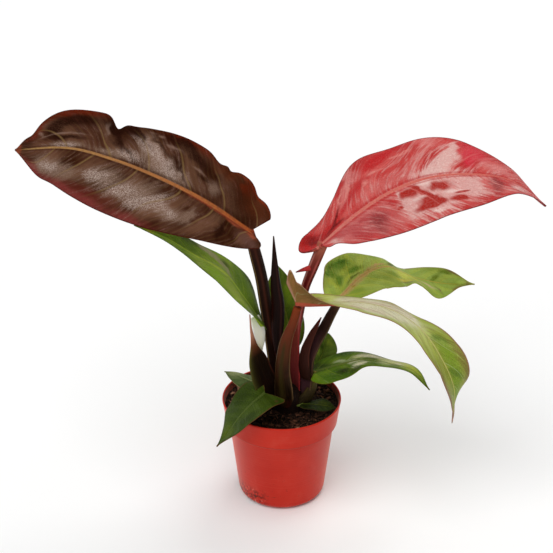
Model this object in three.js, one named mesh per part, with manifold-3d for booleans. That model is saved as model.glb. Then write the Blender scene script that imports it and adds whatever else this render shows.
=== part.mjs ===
// A young imperial red philodendron in a round plastic nursery pot.
// Millimetres, +Z up. The origin is the middle of the pot's flat underside,
// and the plant is seen from the side of -Y.

import * as THREE from 'three';
import { mergeVertices } from 'three/addons/utils/BufferGeometryUtils.js';
import Module from 'manifold-3d';

const wasm = await Module();
wasm.setup();

// Driving dimensions

const GAP = 0.3; // clearance between two pieces that touch

const POT = {
  height: 108,
  rimRadius: 60,
  collarRadius: 56.5, // outside, at the collar's lower edge
  collarHeight: 25,
  neckRadius: 53.5, // outside, just under the collar
  footRadius: 44.5,
  footRounding: 7,
  wall: 1.5,
  rimCrown: 0.4, // rounding on top of the rim
  sides: 48,
  drainHoles: 8,
  drainHoleRadius: 3.5,
  drainCircleRadius: 29,
};

const SOIL = { top: 97, dome: 3, lumps: 1.1, holeDepth: 12, rings: 9, sides: 40 };

const CROWN = { x: 7, y: -3, radius: 16, shoulder: 110, top: 128, footBevel: 3, sides: 20 };

const BLADE = {
  thickness: 0.9,
  ribAtBase: 2.5, // how far the midrib stands out underneath
  ribAtTip: 0.3,
  shoulder: 2.2, // roundness of the margin from the base to the widest place
  crowding: 1.3, // brings the rows closer together towards the base
  bluntTip: 0.5, // half-width that is left at the tip
};

const STALK_SIDES = 10;

// Each leaf is a midrib of a few points from the blade's base to its tip, and two halves.
// left and right are as seen from above, looking from the base to the tip.
//   halfWidth  the widest half, at the share widest of the way to the tip
//   faces      the way the upper side looks, turned by twist degrees about the midrib
//   fold       degrees by which a half is raised from flat, from base to tip
//   lobe       how far the half reaches back past the base
//   rounded    0 for a lobe cut straight across, 1 for a round one
//   neck       the half's width at the back of its lobe, as a share of halfWidth
//   waves      [share of the way, spread, out, up]: bulges and notches of the margin

const bronzeLeaf = {
  midrib: [
    [-31, -5, 294], [-69, -15, 328], [-109, -17, 352],
    [-151, -13, 369], [-196, -2, 377], [-249, 22, 366],
  ],
  halfWidth: 54,
  widest: 0.45,
  taper: 2.2,
  point: 1,
  faces: [0.25, -0.75, 0.6],
  twist: [25, 14, 7, -20],
  left: { fold: [25, 5, 5], lobe: 13, neck: 0.14, waves: [[0.9, 0.07, 5, 0], [0.5, 0.3, 5, 0]] },
  right: {
    fold: [15, -8, 12],
    lobe: 17,
    neck: 0.45,
    waves: [
      [0.92, 0.025, -3, 0], [0.82, 0.07, 2, 3], [0.65, 0.025, -7, -8], [0.6, 0.05, -9, 4],
      [0.53, 0.05, -2, 0], [0.4, 0.08, 2, 0], [0.26, 0.035, -6, 0], [0.205, 0.02, -2, -4],
      [0.14, 0.03, -2, 4], [0.07, 0.025, 0, -4],
    ],
  },
  rows: 40,
  columns: 4,
};

const redLeaf = {
  midrib: [
    [36, -19, 286], [66, -6, 309], [99, 2, 330], [135, 5, 344],
    [175, 5, 348], [215, 10, 339], [250, 15, 311],
  ],
  halfWidth: 52,
  widest: 0.4,
  taper: 2,
  point: 1.1,
  faces: [-0.1, -0.6, 0.8],
  twist: [-60, -10, -10, -55],
  left: {
    fold: [10, -3, 5],
    lobe: 18,
    rounded: 1,
    neck: 0.22,
    waves: [[0.04, 0.07, -5, 10], [0.16, 0.08, -14, 4], [0.33, 0.07, 5, 0], [0.44, 0.08, -4.5, 0]],
  },
  right: {
    fold: [-22, -1, 8, 11, 14],
    lobe: -2,
    neck: 0.1,
    waves: [[0.04, 0.03, -10, 0], [0.65, 0.12, 2, 0]],
  },
  rows: 26,
  columns: 4,
};

const archingLeaf = {
  midrib: [
    [14, -23, 226], [45, -36, 234], [76, -39, 236], [106, -43, 229],
    [132, -46, 210], [151, -50, 182], [165, -50, 148], [168, -37, 101],
  ],
  halfWidth: 29,
  widest: 0.49,
  taper: 2.3,
  point: 1.1,
  faces: [0, -0.3, 0.95],
  twist: [-45, -25, -20, -5, -5],
  left: {
    fold: [50, 12, -10, -10, -10, 10, 30, 0, 10],
    lobe: 4,
    neck: 0.2,
    waves: [[0.55, 0.1, -2.5, 0], [0.89, 0.07, 6, 0]],
  },
  right: {
    fold: [80, 20, 5, 5, 5, 20, 20, 10, 10],
    lobe: 9,
    neck: 0.5,
    waves: [[0.018, 0.019, 15, 0], [0.28, 0.1, 1.5, 0], [0.62, 0.12, 4, 0], [0.85, 0.06, -2, 0]],
  },
  rows: 30,
  columns: 4,
};

const twistedLeaf = {
  midrib: [[58, 0, 223], [79, 30, 229], [106, 49, 230], [134, 59, 213], [164, 63, 204], [198, 72, 199]],
  halfWidth: 32,
  widest: 0.34,
  taper: 2,
  point: 1.2,
  faces: [0.1, -0.6, 0.8],
  twist: [-10, -6, -20, 50],
  left: {
    fold: [35, 20, -32, 0, 40],
    lobe: 18,
    neck: 0.25,
    waves: [[0.13, 0.09, 5, 0], [0.43, 0.13, -15, 0], [0.68, 0.07, 4, 0], [0.85, 0.1, 4, 0]],
  },
  right: {
    fold: [25, 20, 30],
    lobe: 4,
    neck: 0.2,
    waves: [
      [0.12, 0.15, 4, 0], [0.4, 0.08, 5, 0], [0.56, 0.05, -5, 3], [0.74, 0.07, 9, -4], [0.9, 0.06, -3, 0],
    ],
  },
  rows: 24,
  columns: 4,
};

const lanceLeaf = {
  midrib: [[-19, -5, 194], [-37, -2, 222], [-57, 4, 248], [-85, 9, 263], [-113, 14, 279], [-142, 18, 290]],
  halfWidth: 22,
  widest: 0.42,
  taper: 2,
  point: 1.3,
  faces: [0.3, -0.6, 0.7],
  twist: [50, 20, 25, 10],
  left: { fold: [15, 20, 35], lobe: 4, neck: 0.3, waves: [[0.48, 0.12, 5, 0]] },
  right: { fold: [0, -5, 35], lobe: 4, neck: 0.3, waves: [[0.18, 0.16, 10, 0], [0.42, 0.1, -2, 0]] },
  rows: 18,
  columns: 3,
};

const wavyLeaf = {
  midrib: [[33, -6, 141], [56, -8, 150], [80, -10, 157], [104, -17, 157], [128, -25, 153], [144, -34, 137]],
  halfWidth: 24,
  widest: 0.36,
  taper: 1.9,
  point: 1.3,
  faces: [0, -0.4, 0.9],
  twist: [-25, -6, -20, -8],
  left: { fold: [0, -25, 5], lobe: 6, neck: 0.4, waves: [[0.42, 0.14, -5, 0]] },
  right: { fold: [-5, 20, 25], lobe: 4, neck: 0.4, waves: [[0.12, 0.1, 4, 0], [0.48, 0.13, -8, 0]] },
  rows: 18,
  columns: 3,
};

const backLeaf = {
  midrib: [[9, 12, 161], [7, 26, 176], [3, 38, 192], [0, 46, 211], [-4, 50, 231]],
  halfWidth: 23,
  widest: 0.42,
  taper: 2.2,
  point: 0.9,
  faces: [0, -0.9, 0.4],
  twist: [0, -5, -15, -25],
  left: { fold: [40, 35, 5], lobe: 4, neck: 0.3, waves: [] },
  right: { fold: [40, 40, 15], lobe: 4, neck: 0.3, waves: [] },
  rows: 14,
  columns: 3,
};

const shortLeaf = {
  midrib: [[34, 14, 134], [40, 28, 138], [44, 38, 145], [48, 45, 156]],
  halfWidth: 16,
  widest: 0.45,
  taper: 2.4,
  point: 0.8,
  faces: [0, -0.8, 0.5],
  twist: [0, 5, 10, 10],
  left: { fold: [40, 40, 25], lobe: 2, neck: 0.4, waves: [] },
  right: { fold: [40, 40, 20], lobe: 2, neck: 0.4, waves: [] },
  rows: 10,
  columns: 2,
};

const rimLeaf = {
  midrib: [[-17, -22, 126], [-30, -40, 124], [-42, -52, 116], [-52, -60, 104], [-63, -67, 93]],
  halfWidth: 27,
  widest: 0.38,
  taper: 1.8,
  point: 1.2,
  faces: [-0.2, -0.7, 0.7],
  twist: [5, 20, 25, 40],
  left: { fold: [10, 20, 20], lobe: 3, neck: 0.8, waves: [] },
  right: { fold: [-5, -15, 0], lobe: 11, rounded: 1, neck: 0.5, waves: [[0.6, 0.12, 3, 0]] },
  rows: 14,
  columns: 3,
};

const leftLeaf = {
  midrib: [[-20, -2, 123], [-32, 2, 126], [-45, 10, 127], [-58, 22, 124]],
  halfWidth: 13,
  widest: 0.38,
  taper: 1.8,
  point: 1.2,
  faces: [0, -0.5, 0.85],
  twist: [20, 20, 25, 20],
  left: { fold: [-10, -5, 15], lobe: 2, neck: 0.4, waves: [] },
  right: { fold: [-20, -20, 5], lobe: 2, neck: 0.4, waves: [] },
  rows: 10,
  columns: 2,
};

const lowLeaf = {
  midrib: [[20, -17, 110], [32, -18, 110], [44, -19, 109], [54, -18, 106]],
  halfWidth: 12,
  widest: 0.42,
  taper: 1.8,
  point: 1.2,
  faces: [0, -0.4, 0.9],
  twist: [-30, -25, -5, 20],
  left: { fold: [-10, -5, 25], lobe: 2, neck: 0.4, waves: [] },
  right: { fold: [0, 10, 15], lobe: 2, neck: 0.4, waves: [] },
  rows: 10,
  columns: 2,
};

// Each stalk runs from its blade down to the crown. Its section is wide across the way that
// it faces, deep behind, and raised by top in front; a top below zero is a sheath's channel.

const bronzeStalk = {
  path: [
    [-31, -4, 294], [-26, 2, 270], [-20, 5, 241], [-16, 6, 212],
    [-12, 6, 188], [-8, 5, 165], [-4, 2, 141], [-1, -1, 108],
  ],
  faces: [0.4, -0.9, 0.2],
  wide: [5, 6, 6.2, 6.4, 7, 8.5, 10, 10],
  deep: [4, 5, 5, 5, 5, 5, 6, 6],
  top: [1, 3, 3, 3, 1, 0, 0, 0],
};

const redStalk = {
  path: [
    [38, -18, 288], [30, -15, 264], [22, -10, 237], [17, -5, 208],
    [13, -3, 181], [12, -3, 155], [12, -5, 131], [12, -7, 108],
  ],
  faces: [-0.5, -0.8, 0.3],
  wide: [5.5, 5.2, 4.5, 4.5, 5, 6, 7, 7],
  deep: [4, 4.5, 4.5, 4.5, 4.5, 4.5, 5, 5],
  top: [2, 3, 3, 3, 2, 1, 0, 0],
  spur: {
    path: [[28, -14, 261], [21, -18, 261], [13, -18, 258]],
    faces: [0, -1, 0.5],
    wide: [3, 2, 0.5],
    deep: [2, 1.2, 0.5],
    top: [2, 1.2, 0.5],
  },
};

const archingStalk = {
  path: [
    [15, -23, 223], [11, -23, 207], [5, -21, 188], [2, -19, 169],
    [1, -17, 150], [2, -15, 131], [3, -12, 106],
  ],
  faces: [0.3, 0.9, 0.2],
  wide: [4, 4.5, 6, 7, 8, 9.5, 10],
  deep: [4, 4, 5, 6, 7, 7, 6],
  top: [3, 2, 1, 0, -1, -1, 0],
};

const twistedStalk = {
  path: [
    [57, 0, 221], [48, -2, 204], [40, -5, 188], [32, -7, 174],
    [25, -8, 156], [23, -9, 137], [20, -9, 108],
  ],
  faces: [-0.5, -0.7, 0.5],
  wide: [4, 5, 6, 7, 8, 8.5, 8],
  deep: [4, 4.4, 5, 6, 6.5, 7, 7],
  top: [2, 2, 1, 0, 0, 0, 0],
  spur: {
    path: [[24, -11, 136], [22, -12, 152], [23, -12, 168], [28, -12, 184], [33, -12, 195], [38, -12, 206]],
    faces: [-0.6, -0.7, 0.4],
    wide: [7, 7, 6, 4.5, 3, 0.6],
    deep: [4, 4, 3, 2, 1.5, 0.6],
    top: [2, 2, 1, 1, 0.8, 0.6],
  },
};

const lanceStalk = {
  path: [
    [-26.5, -4, 202], [-22.5, -4, 188], [-21, -4, 176], [-22, -3, 165],
    [-20, -1, 148], [-13, 0, 124], [-6, 0, 104],
  ],
  faces: [0.5, -0.8, 0.3],
  wide: [5, 6.5, 4.5, 3, 4, 5, 6],
  deep: [2, 2.5, 2.5, 3, 4, 5, 6],
  top: [1, 1, 1, 1, 1, 1, 1],
};

const wavyStalk = {
  path: [[34, -6, 142], [32, -8, 135], [29, -9, 123], [20, -9, 107]],
  faces: [-0.3, 0.9, 0.5],
  wide: [3, 4.5, 7, 9],
  deep: [3, 4, 6, 7],
  top: [1, 1, 1, 1],
};

const newLeafSpike = {
  path: [
    [-8, -4, 289], [-7, -3, 261], [-6, -2, 236], [-4, -1, 217],
    [-4, -1, 197], [-4, -1, 175], [-1, -2, 151], [4, -3, 126],
  ],
  faces: [0, -1, 0],
  wide: [0.6, 2.5, 4.6, 6.2, 6.5, 5, 4.5, 4],
  deep: [0.6, 2.2, 3.5, 4.5, 5, 4.5, 4, 4],
  top: [0.6, 2, 3, 4, 4, 4, 4, 4],
};

const sheathScale = {
  path: [
    [-31, -14, 210], [-30, -13, 195], [-28.5, -13, 184], [-26, -13, 167],
    [-22, -12, 151], [-17, -11, 134], [-8, -9, 110],
  ],
  faces: [0.6, -0.7, 0.3],
  wide: [0.6, 1.3, 4, 11, 13.5, 14, 12],
  deep: [0.6, 1.3, 2, 3, 4, 5, 6],
  top: [0.6, 0.6, 0.6, 0, -1.5, -1.5, 0],
};

const backStalk = {
  path: [[9, 13, 161], [7, 11, 131], [6, 6, 108]],
  faces: [0, -1, 0],
  wide: [3, 4, 5],
  deep: [3, 4, 5],
  top: [1, 1, 1],
};

const shortStalk = {
  path: [[35, 16, 135], [22, 9, 122], [12, 3, 108]],
  faces: [0, -1, 1],
  wide: [2.5, 3, 4],
  deep: [2.5, 3, 4],
  top: [1, 1, 1],
};

const rimStalk = {
  path: [[-18, -23, 125], [-12, -18, 120], [0, -11, 108]],
  faces: [0, 0, 1],
  wide: [3, 4, 5],
  deep: [3, 3.5, 4],
  top: [1, 2, 2],
};

const leftStalk = {
  path: [[-21, -2, 123], [-15, -2, 119], [-4, -3, 106]],
  faces: [0, 0, 1],
  wide: [2, 2.5, 3],
  deep: [2, 2.5, 3],
  top: [1, 1, 1],
};

const lowStalk = {
  path: [[21, -17, 110], [17, -15, 108], [8, -8, 104]],
  faces: [0, 0, 1],
  wide: [2, 2.5, 3],
  deep: [2, 2.5, 3],
  top: [1, 1, 1],
};

// Solids

/** A closed solid from a geometry's positions alone. */
function solid(geometry) {
  const bare = geometry.clone();
  bare.deleteAttribute('normal');
  bare.deleteAttribute('uv');
  const merged = mergeVertices(bare, 1e-4);
  return new wasm.Manifold(new wasm.Mesh({
    numProp: 3,
    vertProperties: new Float32Array(merged.attributes.position.array),
    triVerts: new Uint32Array(merged.index.array),
  }));
}

/** The named mesh of a solid. */
function piece(name, shape, colour, roughness) {
  const { vertProperties, triVerts } = shape.getMesh();
  const geometry = new THREE.BufferGeometry();
  geometry.setAttribute('position', new THREE.BufferAttribute(vertProperties, 3));
  geometry.setIndex(new THREE.BufferAttribute(triVerts, 1));
  geometry.computeVertexNormals();
  const material = new THREE.MeshStandardMaterial({ color: colour, roughness, metalness: 0 });
  const mesh = new THREE.Mesh(geometry, material);
  mesh.name = name;
  return mesh;
}

/** What is left of a solid once its neighbours are cut out of it: its largest body. */
function cutClear(shape, neighbours) {
  const rest = neighbours.reduce((left, neighbour) => left.subtract(neighbour), shape);
  return rest.decompose().reduce((best, body) => (body.volume() > best.volume() ? body : best));
}

// Smooth curves through a few values

/** The value at a share of the way through evenly spaced values, on a uniform Catmull-Rom curve. */
function along(values, share) {
  const last = values.length - 1;
  const i = Math.min(Math.floor(share * last), last - 1);
  const t = share * last - i;
  const [b, c] = [values[i], values[i + 1]];
  const a = i > 0 ? values[i - 1] : 2 * b - c;
  const d = i + 2 <= last ? values[i + 2] : 2 * c - b;
  const square = (2 * a - 5 * b + 4 * c - d) * t ** 2;
  const cube = (3 * b - a - 3 * c + d) * t ** 3;
  return (2 * b + (c - a) * t + square + cube) / 2;
}

/** A curve through points: at(x) is the place and direction x mm from its start, straight past its ends. */
function route(points) {
  const through = points.map((p) => new THREE.Vector3(...p));
  const curve = new THREE.CatmullRomCurve3(through, false, 'catmullrom', 0.5);
  const length = curve.getLength();
  const at = (x) => {
    const share = THREE.MathUtils.clamp(x / length, 0, 1);
    const forward = curve.getTangentAt(share);
    return { place: curve.getPointAt(share).addScaledVector(forward, x - share * length), forward };
  };
  return { length, at };
}

/** The unit vectors up and left of a thing that runs forward and faces a given way. */
function bearings(forward, faces) {
  const up = new THREE.Vector3(...faces).projectOnPlane(forward).normalize();
  return { up, left: new THREE.Vector3().crossVectors(up, forward) };
}

// Leaf blades

/** Half-width of a blade at a share of the way from the back of its lobe to its tip. */
function marginWidth(leaf, half, share) {
  const { halfWidth, widest, taper, point } = leaf;
  if (share < widest) {
    const back = half.neck * halfWidth;
    return back + (halfWidth - back) * Math.sqrt(1 - (1 - share / widest) ** BLADE.shoulder);
  }
  return halfWidth * (1 - ((share - widest) / (1 - widest)) ** taper) ** point;
}

/** Point of a blade's middle sheet; share runs from base to tip, across from -1, right, to 1, left. */
function bladePoint(leaf, rib, share, across) {
  const half = across < 0 ? leaf.right : leaf.left;
  const away = Math.abs(across);
  let width = marginWidth(leaf, half, share);
  let rise = 0;
  for (const [centre, spread, out, up] of half.waves) {
    const swell = Math.exp(-(((share - centre) / spread) ** 2));
    width += out * swell;
    rise += up * swell * away ** 2;
  }
  const onRib = rib.length * share;
  const back = away + (half.rounded ?? 0) * (away - away ** 2);
  const x = onRib - half.lobe * (1 - share) * back;
  const y = Math.max(width, BLADE.bluntTip) * away;
  const { place, forward } = rib.at(x);
  const ribShare = THREE.MathUtils.clamp(x / rib.length, 0, 1);
  const { up, left } = bearings(forward, leaf.faces);
  const twist = THREE.MathUtils.degToRad(along(leaf.twist, ribShare));
  up.applyAxisAngle(forward, twist);
  left.applyAxisAngle(forward, twist);
  const fold = THREE.MathUtils.degToRad(along(half.fold, ribShare));
  return place
    .addScaledVector(left, Math.sign(across) * y * Math.cos(fold))
    .addScaledVector(up, y * Math.sin(fold) + rise);
}

/** A blade as a closed sheet of even thickness with its midrib underneath, grown all round by extra. */
function bladeSolid(leaf, extra = 0) {
  const rib = route(leaf.midrib);
  const { rows, columns } = leaf;
  const across = columns * 2 + 1;
  const grid = [];
  for (let i = 0; i <= rows; i++) {
    const share = (i / rows) ** BLADE.crowding;
    for (let j = 0; j < across; j++) grid.push(bladePoint(leaf, rib, share, j / columns - 1));
  }
  const at = (i, j) => {
    const row = THREE.MathUtils.clamp(i, 0, rows);
    return grid[row * across + THREE.MathUtils.clamp(j, 0, across - 1)];
  };

  // The margin all round: the base, the left side, the tip and the right side
  const edge = [];
  for (let j = 0; j < across; j++) edge.push(j);
  for (let i = 1; i <= rows; i++) edge.push(i * across + across - 1);
  for (let j = across - 2; j >= 0; j--) edge.push(rows * across + j);
  for (let i = rows - 1; i > 0; i--) edge.push(i * across);
  const edgeway = new Map();
  edge.forEach((m, k) => {
    const after = grid[edge[(k + 1) % edge.length]];
    edgeway.set(m, after.clone().sub(grid[edge.at(k - 1)]));
  });

  const upper = [];
  const lower = [];
  const half = BLADE.thickness / 2 + extra;
  for (let i = 0; i <= rows; i++) {
    for (let j = 0; j < across; j++) {
      const forward = at(i + 1, j).clone().sub(at(i - 1, j));
      const leftward = at(i, j + 1).clone().sub(at(i, j - 1));
      const up = forward.cross(leftward).normalize();
      const middle = at(i, j).clone();
      const alongEdge = edgeway.get(i * across + j);
      if (alongEdge) middle.add(up.clone().cross(alongEdge).setLength(extra));
      const keel = j === columns ? THREE.MathUtils.lerp(BLADE.ribAtBase, BLADE.ribAtTip, i / rows) : 0;
      upper.push(...middle.clone().addScaledVector(up, half));
      lower.push(...middle.clone().addScaledVector(up, -half - keel));
    }
  }

  const under = grid.length;
  const faces = [];
  for (let i = 0; i < rows; i++) {
    for (let j = 0; j < across - 1; j++) {
      const [a, b] = [i * across + j, i * across + j + 1];
      const [c, d] = [b + across, a + across];
      faces.push(a, c, b, a, d, c);
      faces.push(under + a, under + b, under + c, under + a, under + c, under + d);
    }
  }
  edge.forEach((a, k) => {
    const b = edge[(k + 1) % edge.length];
    faces.push(a, b, under + b, a, under + b, under + a);
  });
  const geometry = new THREE.BufferGeometry();
  geometry.setAttribute('position', new THREE.Float32BufferAttribute([...upper, ...lower], 3));
  geometry.setIndex(faces);
  return solid(geometry);
}

// Stalks, the rolled leaf and the sheath scale

/** A stalk as a closed tube whose section changes along its path, with its spur if it has one. */
function stalkSolid(stalk, extra = 0) {
  const way = route(stalk.path);
  const steps = (stalk.path.length - 1) * 2;
  const points = [];
  const ends = [];
  for (let i = 0; i <= steps; i++) {
    const share = i / steps;
    const past = i === 0 ? -extra : i === steps ? extra : 0;
    const { place, forward } = way.at(share * way.length + past);
    const { up, left } = bearings(forward, stalk.faces);
    const wide = along(stalk.wide, share) + extra;
    const deep = along(stalk.deep, share) + extra;
    const top = along(stalk.top, share) + extra;
    for (let k = 0; k < STALK_SIDES; k++) {
      const angle = (2 * Math.PI * (k + 0.5)) / STALK_SIDES;
      const height = Math.sin(angle) * (Math.sin(angle) > 0 ? top : deep);
      points.push(place.clone().addScaledVector(left, wide * Math.cos(angle)).addScaledVector(up, height));
    }
    if (i === 0 || i === steps) ends.push(place.clone().addScaledVector(up, (top - deep) / 2));
  }
  points.push(...ends);
  const [start, finish] = [points.length - 2, points.length - 1];
  const faces = [];
  for (let k = 0; k < STALK_SIDES; k++) {
    const next = (k + 1) % STALK_SIDES;
    for (let i = 0; i < steps; i++) {
      const [a, b] = [i * STALK_SIDES + k, i * STALK_SIDES + next];
      faces.push(a, b, b + STALK_SIDES, a, b + STALK_SIDES, a + STALK_SIDES);
    }
    faces.push(start, next, k);
    faces.push(finish, steps * STALK_SIDES + k, steps * STALK_SIDES + next);
  }
  const geometry = new THREE.BufferGeometry();
  geometry.setAttribute('position', new THREE.Float32BufferAttribute(points.flatMap((p) => [...p]), 3));
  geometry.setIndex(faces);
  const tube = solid(geometry);
  return stalk.spur ? tube.add(stalkSolid(stalk.spur, extra)) : tube;
}

// Pot, soil and crown

/** A solid turned about a vertical axis from [radius, height] points, lowest first. */
function turned(profile, segments) {
  const lathe = new THREE.LatheGeometry(profile.map(([r, z]) => new THREE.Vector2(r, z)), segments);
  return lathe.rotateX(Math.PI / 2);
}

/** The pot's outer or inner [radius, height] line, from the floor's middle up to the rim. */
function potLine(inset) {
  const { footRadius, footRounding, neckRadius, collarRadius, rimRadius, height, collarHeight } = POT;
  const rounding = Math.max(footRounding - inset, 1);
  const foot = footRadius - inset;
  const line = [[0, inset]];
  for (let k = 0; k <= 4; k++) {
    const angle = (k / 4) * (Math.PI / 2);
    line.push([foot - rounding + rounding * Math.sin(angle), inset + rounding * (1 - Math.cos(angle))]);
  }
  const step = height - collarHeight + inset;
  line.push([neckRadius - inset, step - 1]);
  line.push([collarRadius - inset, step]);
  line.push([rimRadius - inset, height]);
  return line;
}

function potSolid() {
  const outer = potLine(0);
  const inner = potLine(POT.wall).reverse();
  const rim = [[POT.rimRadius - POT.wall / 2, POT.height + POT.rimCrown]];
  const shell = solid(turned([...outer, ...rim, ...inner], POT.sides));
  const holes = [];
  for (let k = 0; k < POT.drainHoles; k++) {
    const angle = (2 * Math.PI * (k + 0.5)) / POT.drainHoles;
    const hole = new THREE.CylinderGeometry(POT.drainHoleRadius, POT.drainHoleRadius, 4 * POT.wall, 12);
    hole.rotateX(Math.PI / 2);
    hole.translate(POT.drainCircleRadius * Math.cos(angle), POT.drainCircleRadius * Math.sin(angle), 0);
    holes.push(solid(hole));
  }
  return holes.reduce((left, hole) => left.subtract(hole), shell);
}

/** Height of the soil's clods over its even dome: three crossed waves, each some 20 mm long. */
function clods(x, y) {
  const first = Math.sin(x / 3.1 + 1.7 * Math.sin(y / 7));
  const second = Math.sin(y / 2.7 - x / 9);
  const third = Math.sin((x + y) / 4.3);
  return (SOIL.lumps / 3) * (first + second + third);
}

function soilSolid() {
  const wall = potLine(POT.wall + GAP).filter(([, z]) => z < SOIL.top);
  const below = wall.at(-1);
  const rim = [POT.rimRadius - POT.wall - GAP, POT.height];
  const share = (SOIL.top - below[1]) / (rim[1] - below[1]);
  const edge = THREE.MathUtils.lerp(below[0], rim[0], share);
  const profile = [...wall];
  for (let k = 0; k <= SOIL.rings; k++) {
    const radius = edge * (1 - k / SOIL.rings);
    profile.push([radius, SOIL.top + SOIL.dome * (1 - (radius / edge) ** 2)]);
  }
  const geometry = turned(profile, SOIL.sides);
  const { position } = geometry.attributes;
  for (let k = 0; k < position.count; k++) {
    const [x, y, z] = [position.getX(k), position.getY(k), position.getZ(k)];
    const radius = Math.hypot(x, y);
    if (z >= SOIL.top && radius < edge - 1) position.setZ(k, z + clods(x, y) * Math.min(1, radius));
  }
  return solid(geometry);
}

/** The short stout stem, broad at the shoulder where the leaf stalks sit. */
function crownSolid(extra = 0) {
  const { x, y, radius, shoulder, top, footBevel, sides } = CROWN;
  const foot = SOIL.top - SOIL.holeDepth;
  const profile = [
    [0, foot - extra],
    [radius - footBevel + extra, foot - extra],
    [radius + extra, foot + footBevel],
  ];
  for (let k = 0; k <= 5; k++) {
    const angle = (k / 5) * (Math.PI / 2);
    const height = shoulder + (top + extra - shoulder) * Math.sin(angle);
    profile.push([(radius + extra) * Math.cos(angle), height]);
  }
  return solid(turned(profile, sides).translate(x, y, 0));
}

// The plant, put together from the front of the crown to its back

const crown = crownSolid();
const soil = soilSolid().subtract(crownSolid(GAP));

const taken = [crownSolid(GAP)];

/** Solids of a leaf that has its stalk in another colour; the stalk gives way to what stands already. */
function leafPair(name, leaf, stalk, bladeColour, stalkColour) {
  const blade = cutClear(bladeSolid(leaf), taken);
  taken.push(bladeSolid(leaf, GAP));
  const stem = cutClear(stalkSolid(stalk), taken);
  taken.push(stalkSolid(stalk, GAP));
  return [piece(`${name}_blade`, blade, bladeColour, 0.35), piece(`${name}_stalk`, stem, stalkColour, 0.45)];
}

/** A leaf whose blade and stalk are one piece. */
function wholeLeaf(name, leaf, stalk, colour) {
  const whole = cutClear(bladeSolid(leaf).add(stalkSolid(stalk)), taken);
  taken.push(bladeSolid(leaf, GAP), stalkSolid(stalk, GAP));
  return piece(name, whole, colour, 0.4);
}

/** A stalk without a blade: the rolled leaf or the sheath scale. */
function bareStalk(name, stalk, colour) {
  const shape = cutClear(stalkSolid(stalk), taken);
  taken.push(stalkSolid(stalk, GAP));
  return piece(name, shape, colour, 0.4);
}

const philodendron = new THREE.Group();
philodendron.add(
  piece('pot', potSolid(), 0xd9604c, 0.5),
  piece('soil', soil, 0x3a2a20, 0.95),
  piece('crown', crown, 0x2e2018, 0.7),
  ...leafPair('arching_leaf', archingLeaf, archingStalk, 0xa3b06a, 0x7a4a2c),
  ...leafPair('red_leaf', redLeaf, redStalk, 0xd83a40, 0x7c1220),
  ...leafPair('bronze_leaf', bronzeLeaf, bronzeStalk, 0x5a3f33, 0x3c1a22),
  bareStalk('new_leaf_spike', newLeafSpike, 0x27101a),
  ...leafPair('wavy_leaf', wavyLeaf, wavyStalk, 0x4d7d3a, 0x7a7a35),
  ...leafPair('twisted_leaf', twistedLeaf, twistedStalk, 0x86b04a, 0x3a2228),
  bareStalk('sheath_scale', sheathScale, 0x5c4a26),
  ...leafPair('lance_leaf', lanceLeaf, lanceStalk, 0x6c9a45, 0xd8d8b4),
  wholeLeaf('rim_leaf', rimLeaf, rimStalk, 0x4a6b33),
  wholeLeaf('low_leaf', lowLeaf, lowStalk, 0x2c4426),
  wholeLeaf('left_leaf', leftLeaf, leftStalk, 0x6f8f64),
  wholeLeaf('back_leaf', backLeaf, backStalk, 0x5c8a42),
  wholeLeaf('short_leaf', shortLeaf, shortStalk, 0x57853c),
);

export default philodendron;
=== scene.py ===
# A young imperial red philodendron in its nursery pot, in metres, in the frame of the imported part.
# The file follows the plant as it is put together: pot, soil, crown, then each leaf from the front of
# the crown to its back, with its stalk. Leaf and stalk sizes are in millimetres, as they are measured.

import bpy
import numpy as np
from mathutils import Matrix, Vector


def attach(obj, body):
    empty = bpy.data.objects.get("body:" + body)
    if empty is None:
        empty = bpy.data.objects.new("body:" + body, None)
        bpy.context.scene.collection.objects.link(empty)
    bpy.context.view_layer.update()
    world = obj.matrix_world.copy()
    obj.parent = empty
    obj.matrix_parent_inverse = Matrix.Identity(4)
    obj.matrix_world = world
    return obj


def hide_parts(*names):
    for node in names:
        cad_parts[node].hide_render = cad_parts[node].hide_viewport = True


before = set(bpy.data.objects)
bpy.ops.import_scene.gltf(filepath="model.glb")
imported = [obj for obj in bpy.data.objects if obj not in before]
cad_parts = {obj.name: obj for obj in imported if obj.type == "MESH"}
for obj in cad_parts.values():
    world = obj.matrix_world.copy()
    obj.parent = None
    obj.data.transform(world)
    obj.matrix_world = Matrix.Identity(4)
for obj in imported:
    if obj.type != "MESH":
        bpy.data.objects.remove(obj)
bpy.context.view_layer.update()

MM = 0.001


# The pot: a thin injection-moulded nursery pot of soft terracotta-red plastic, with a deep collar
# under its rim, a flat floor with eight drain holes, and the fine lines that the mould leaves round it.

def colour(code):
    """A display colour such as "c8442f" as linear red, green, blue and alpha."""
    srgb = np.array([int(code[k:k + 2], 16) for k in (0, 2, 4)]) / 255
    linear = np.where(srgb <= 0.04045, srgb / 12.92, ((srgb + 0.055) / 1.055) ** 2.4)
    return (*linear.tolist(), 1.0)


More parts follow.
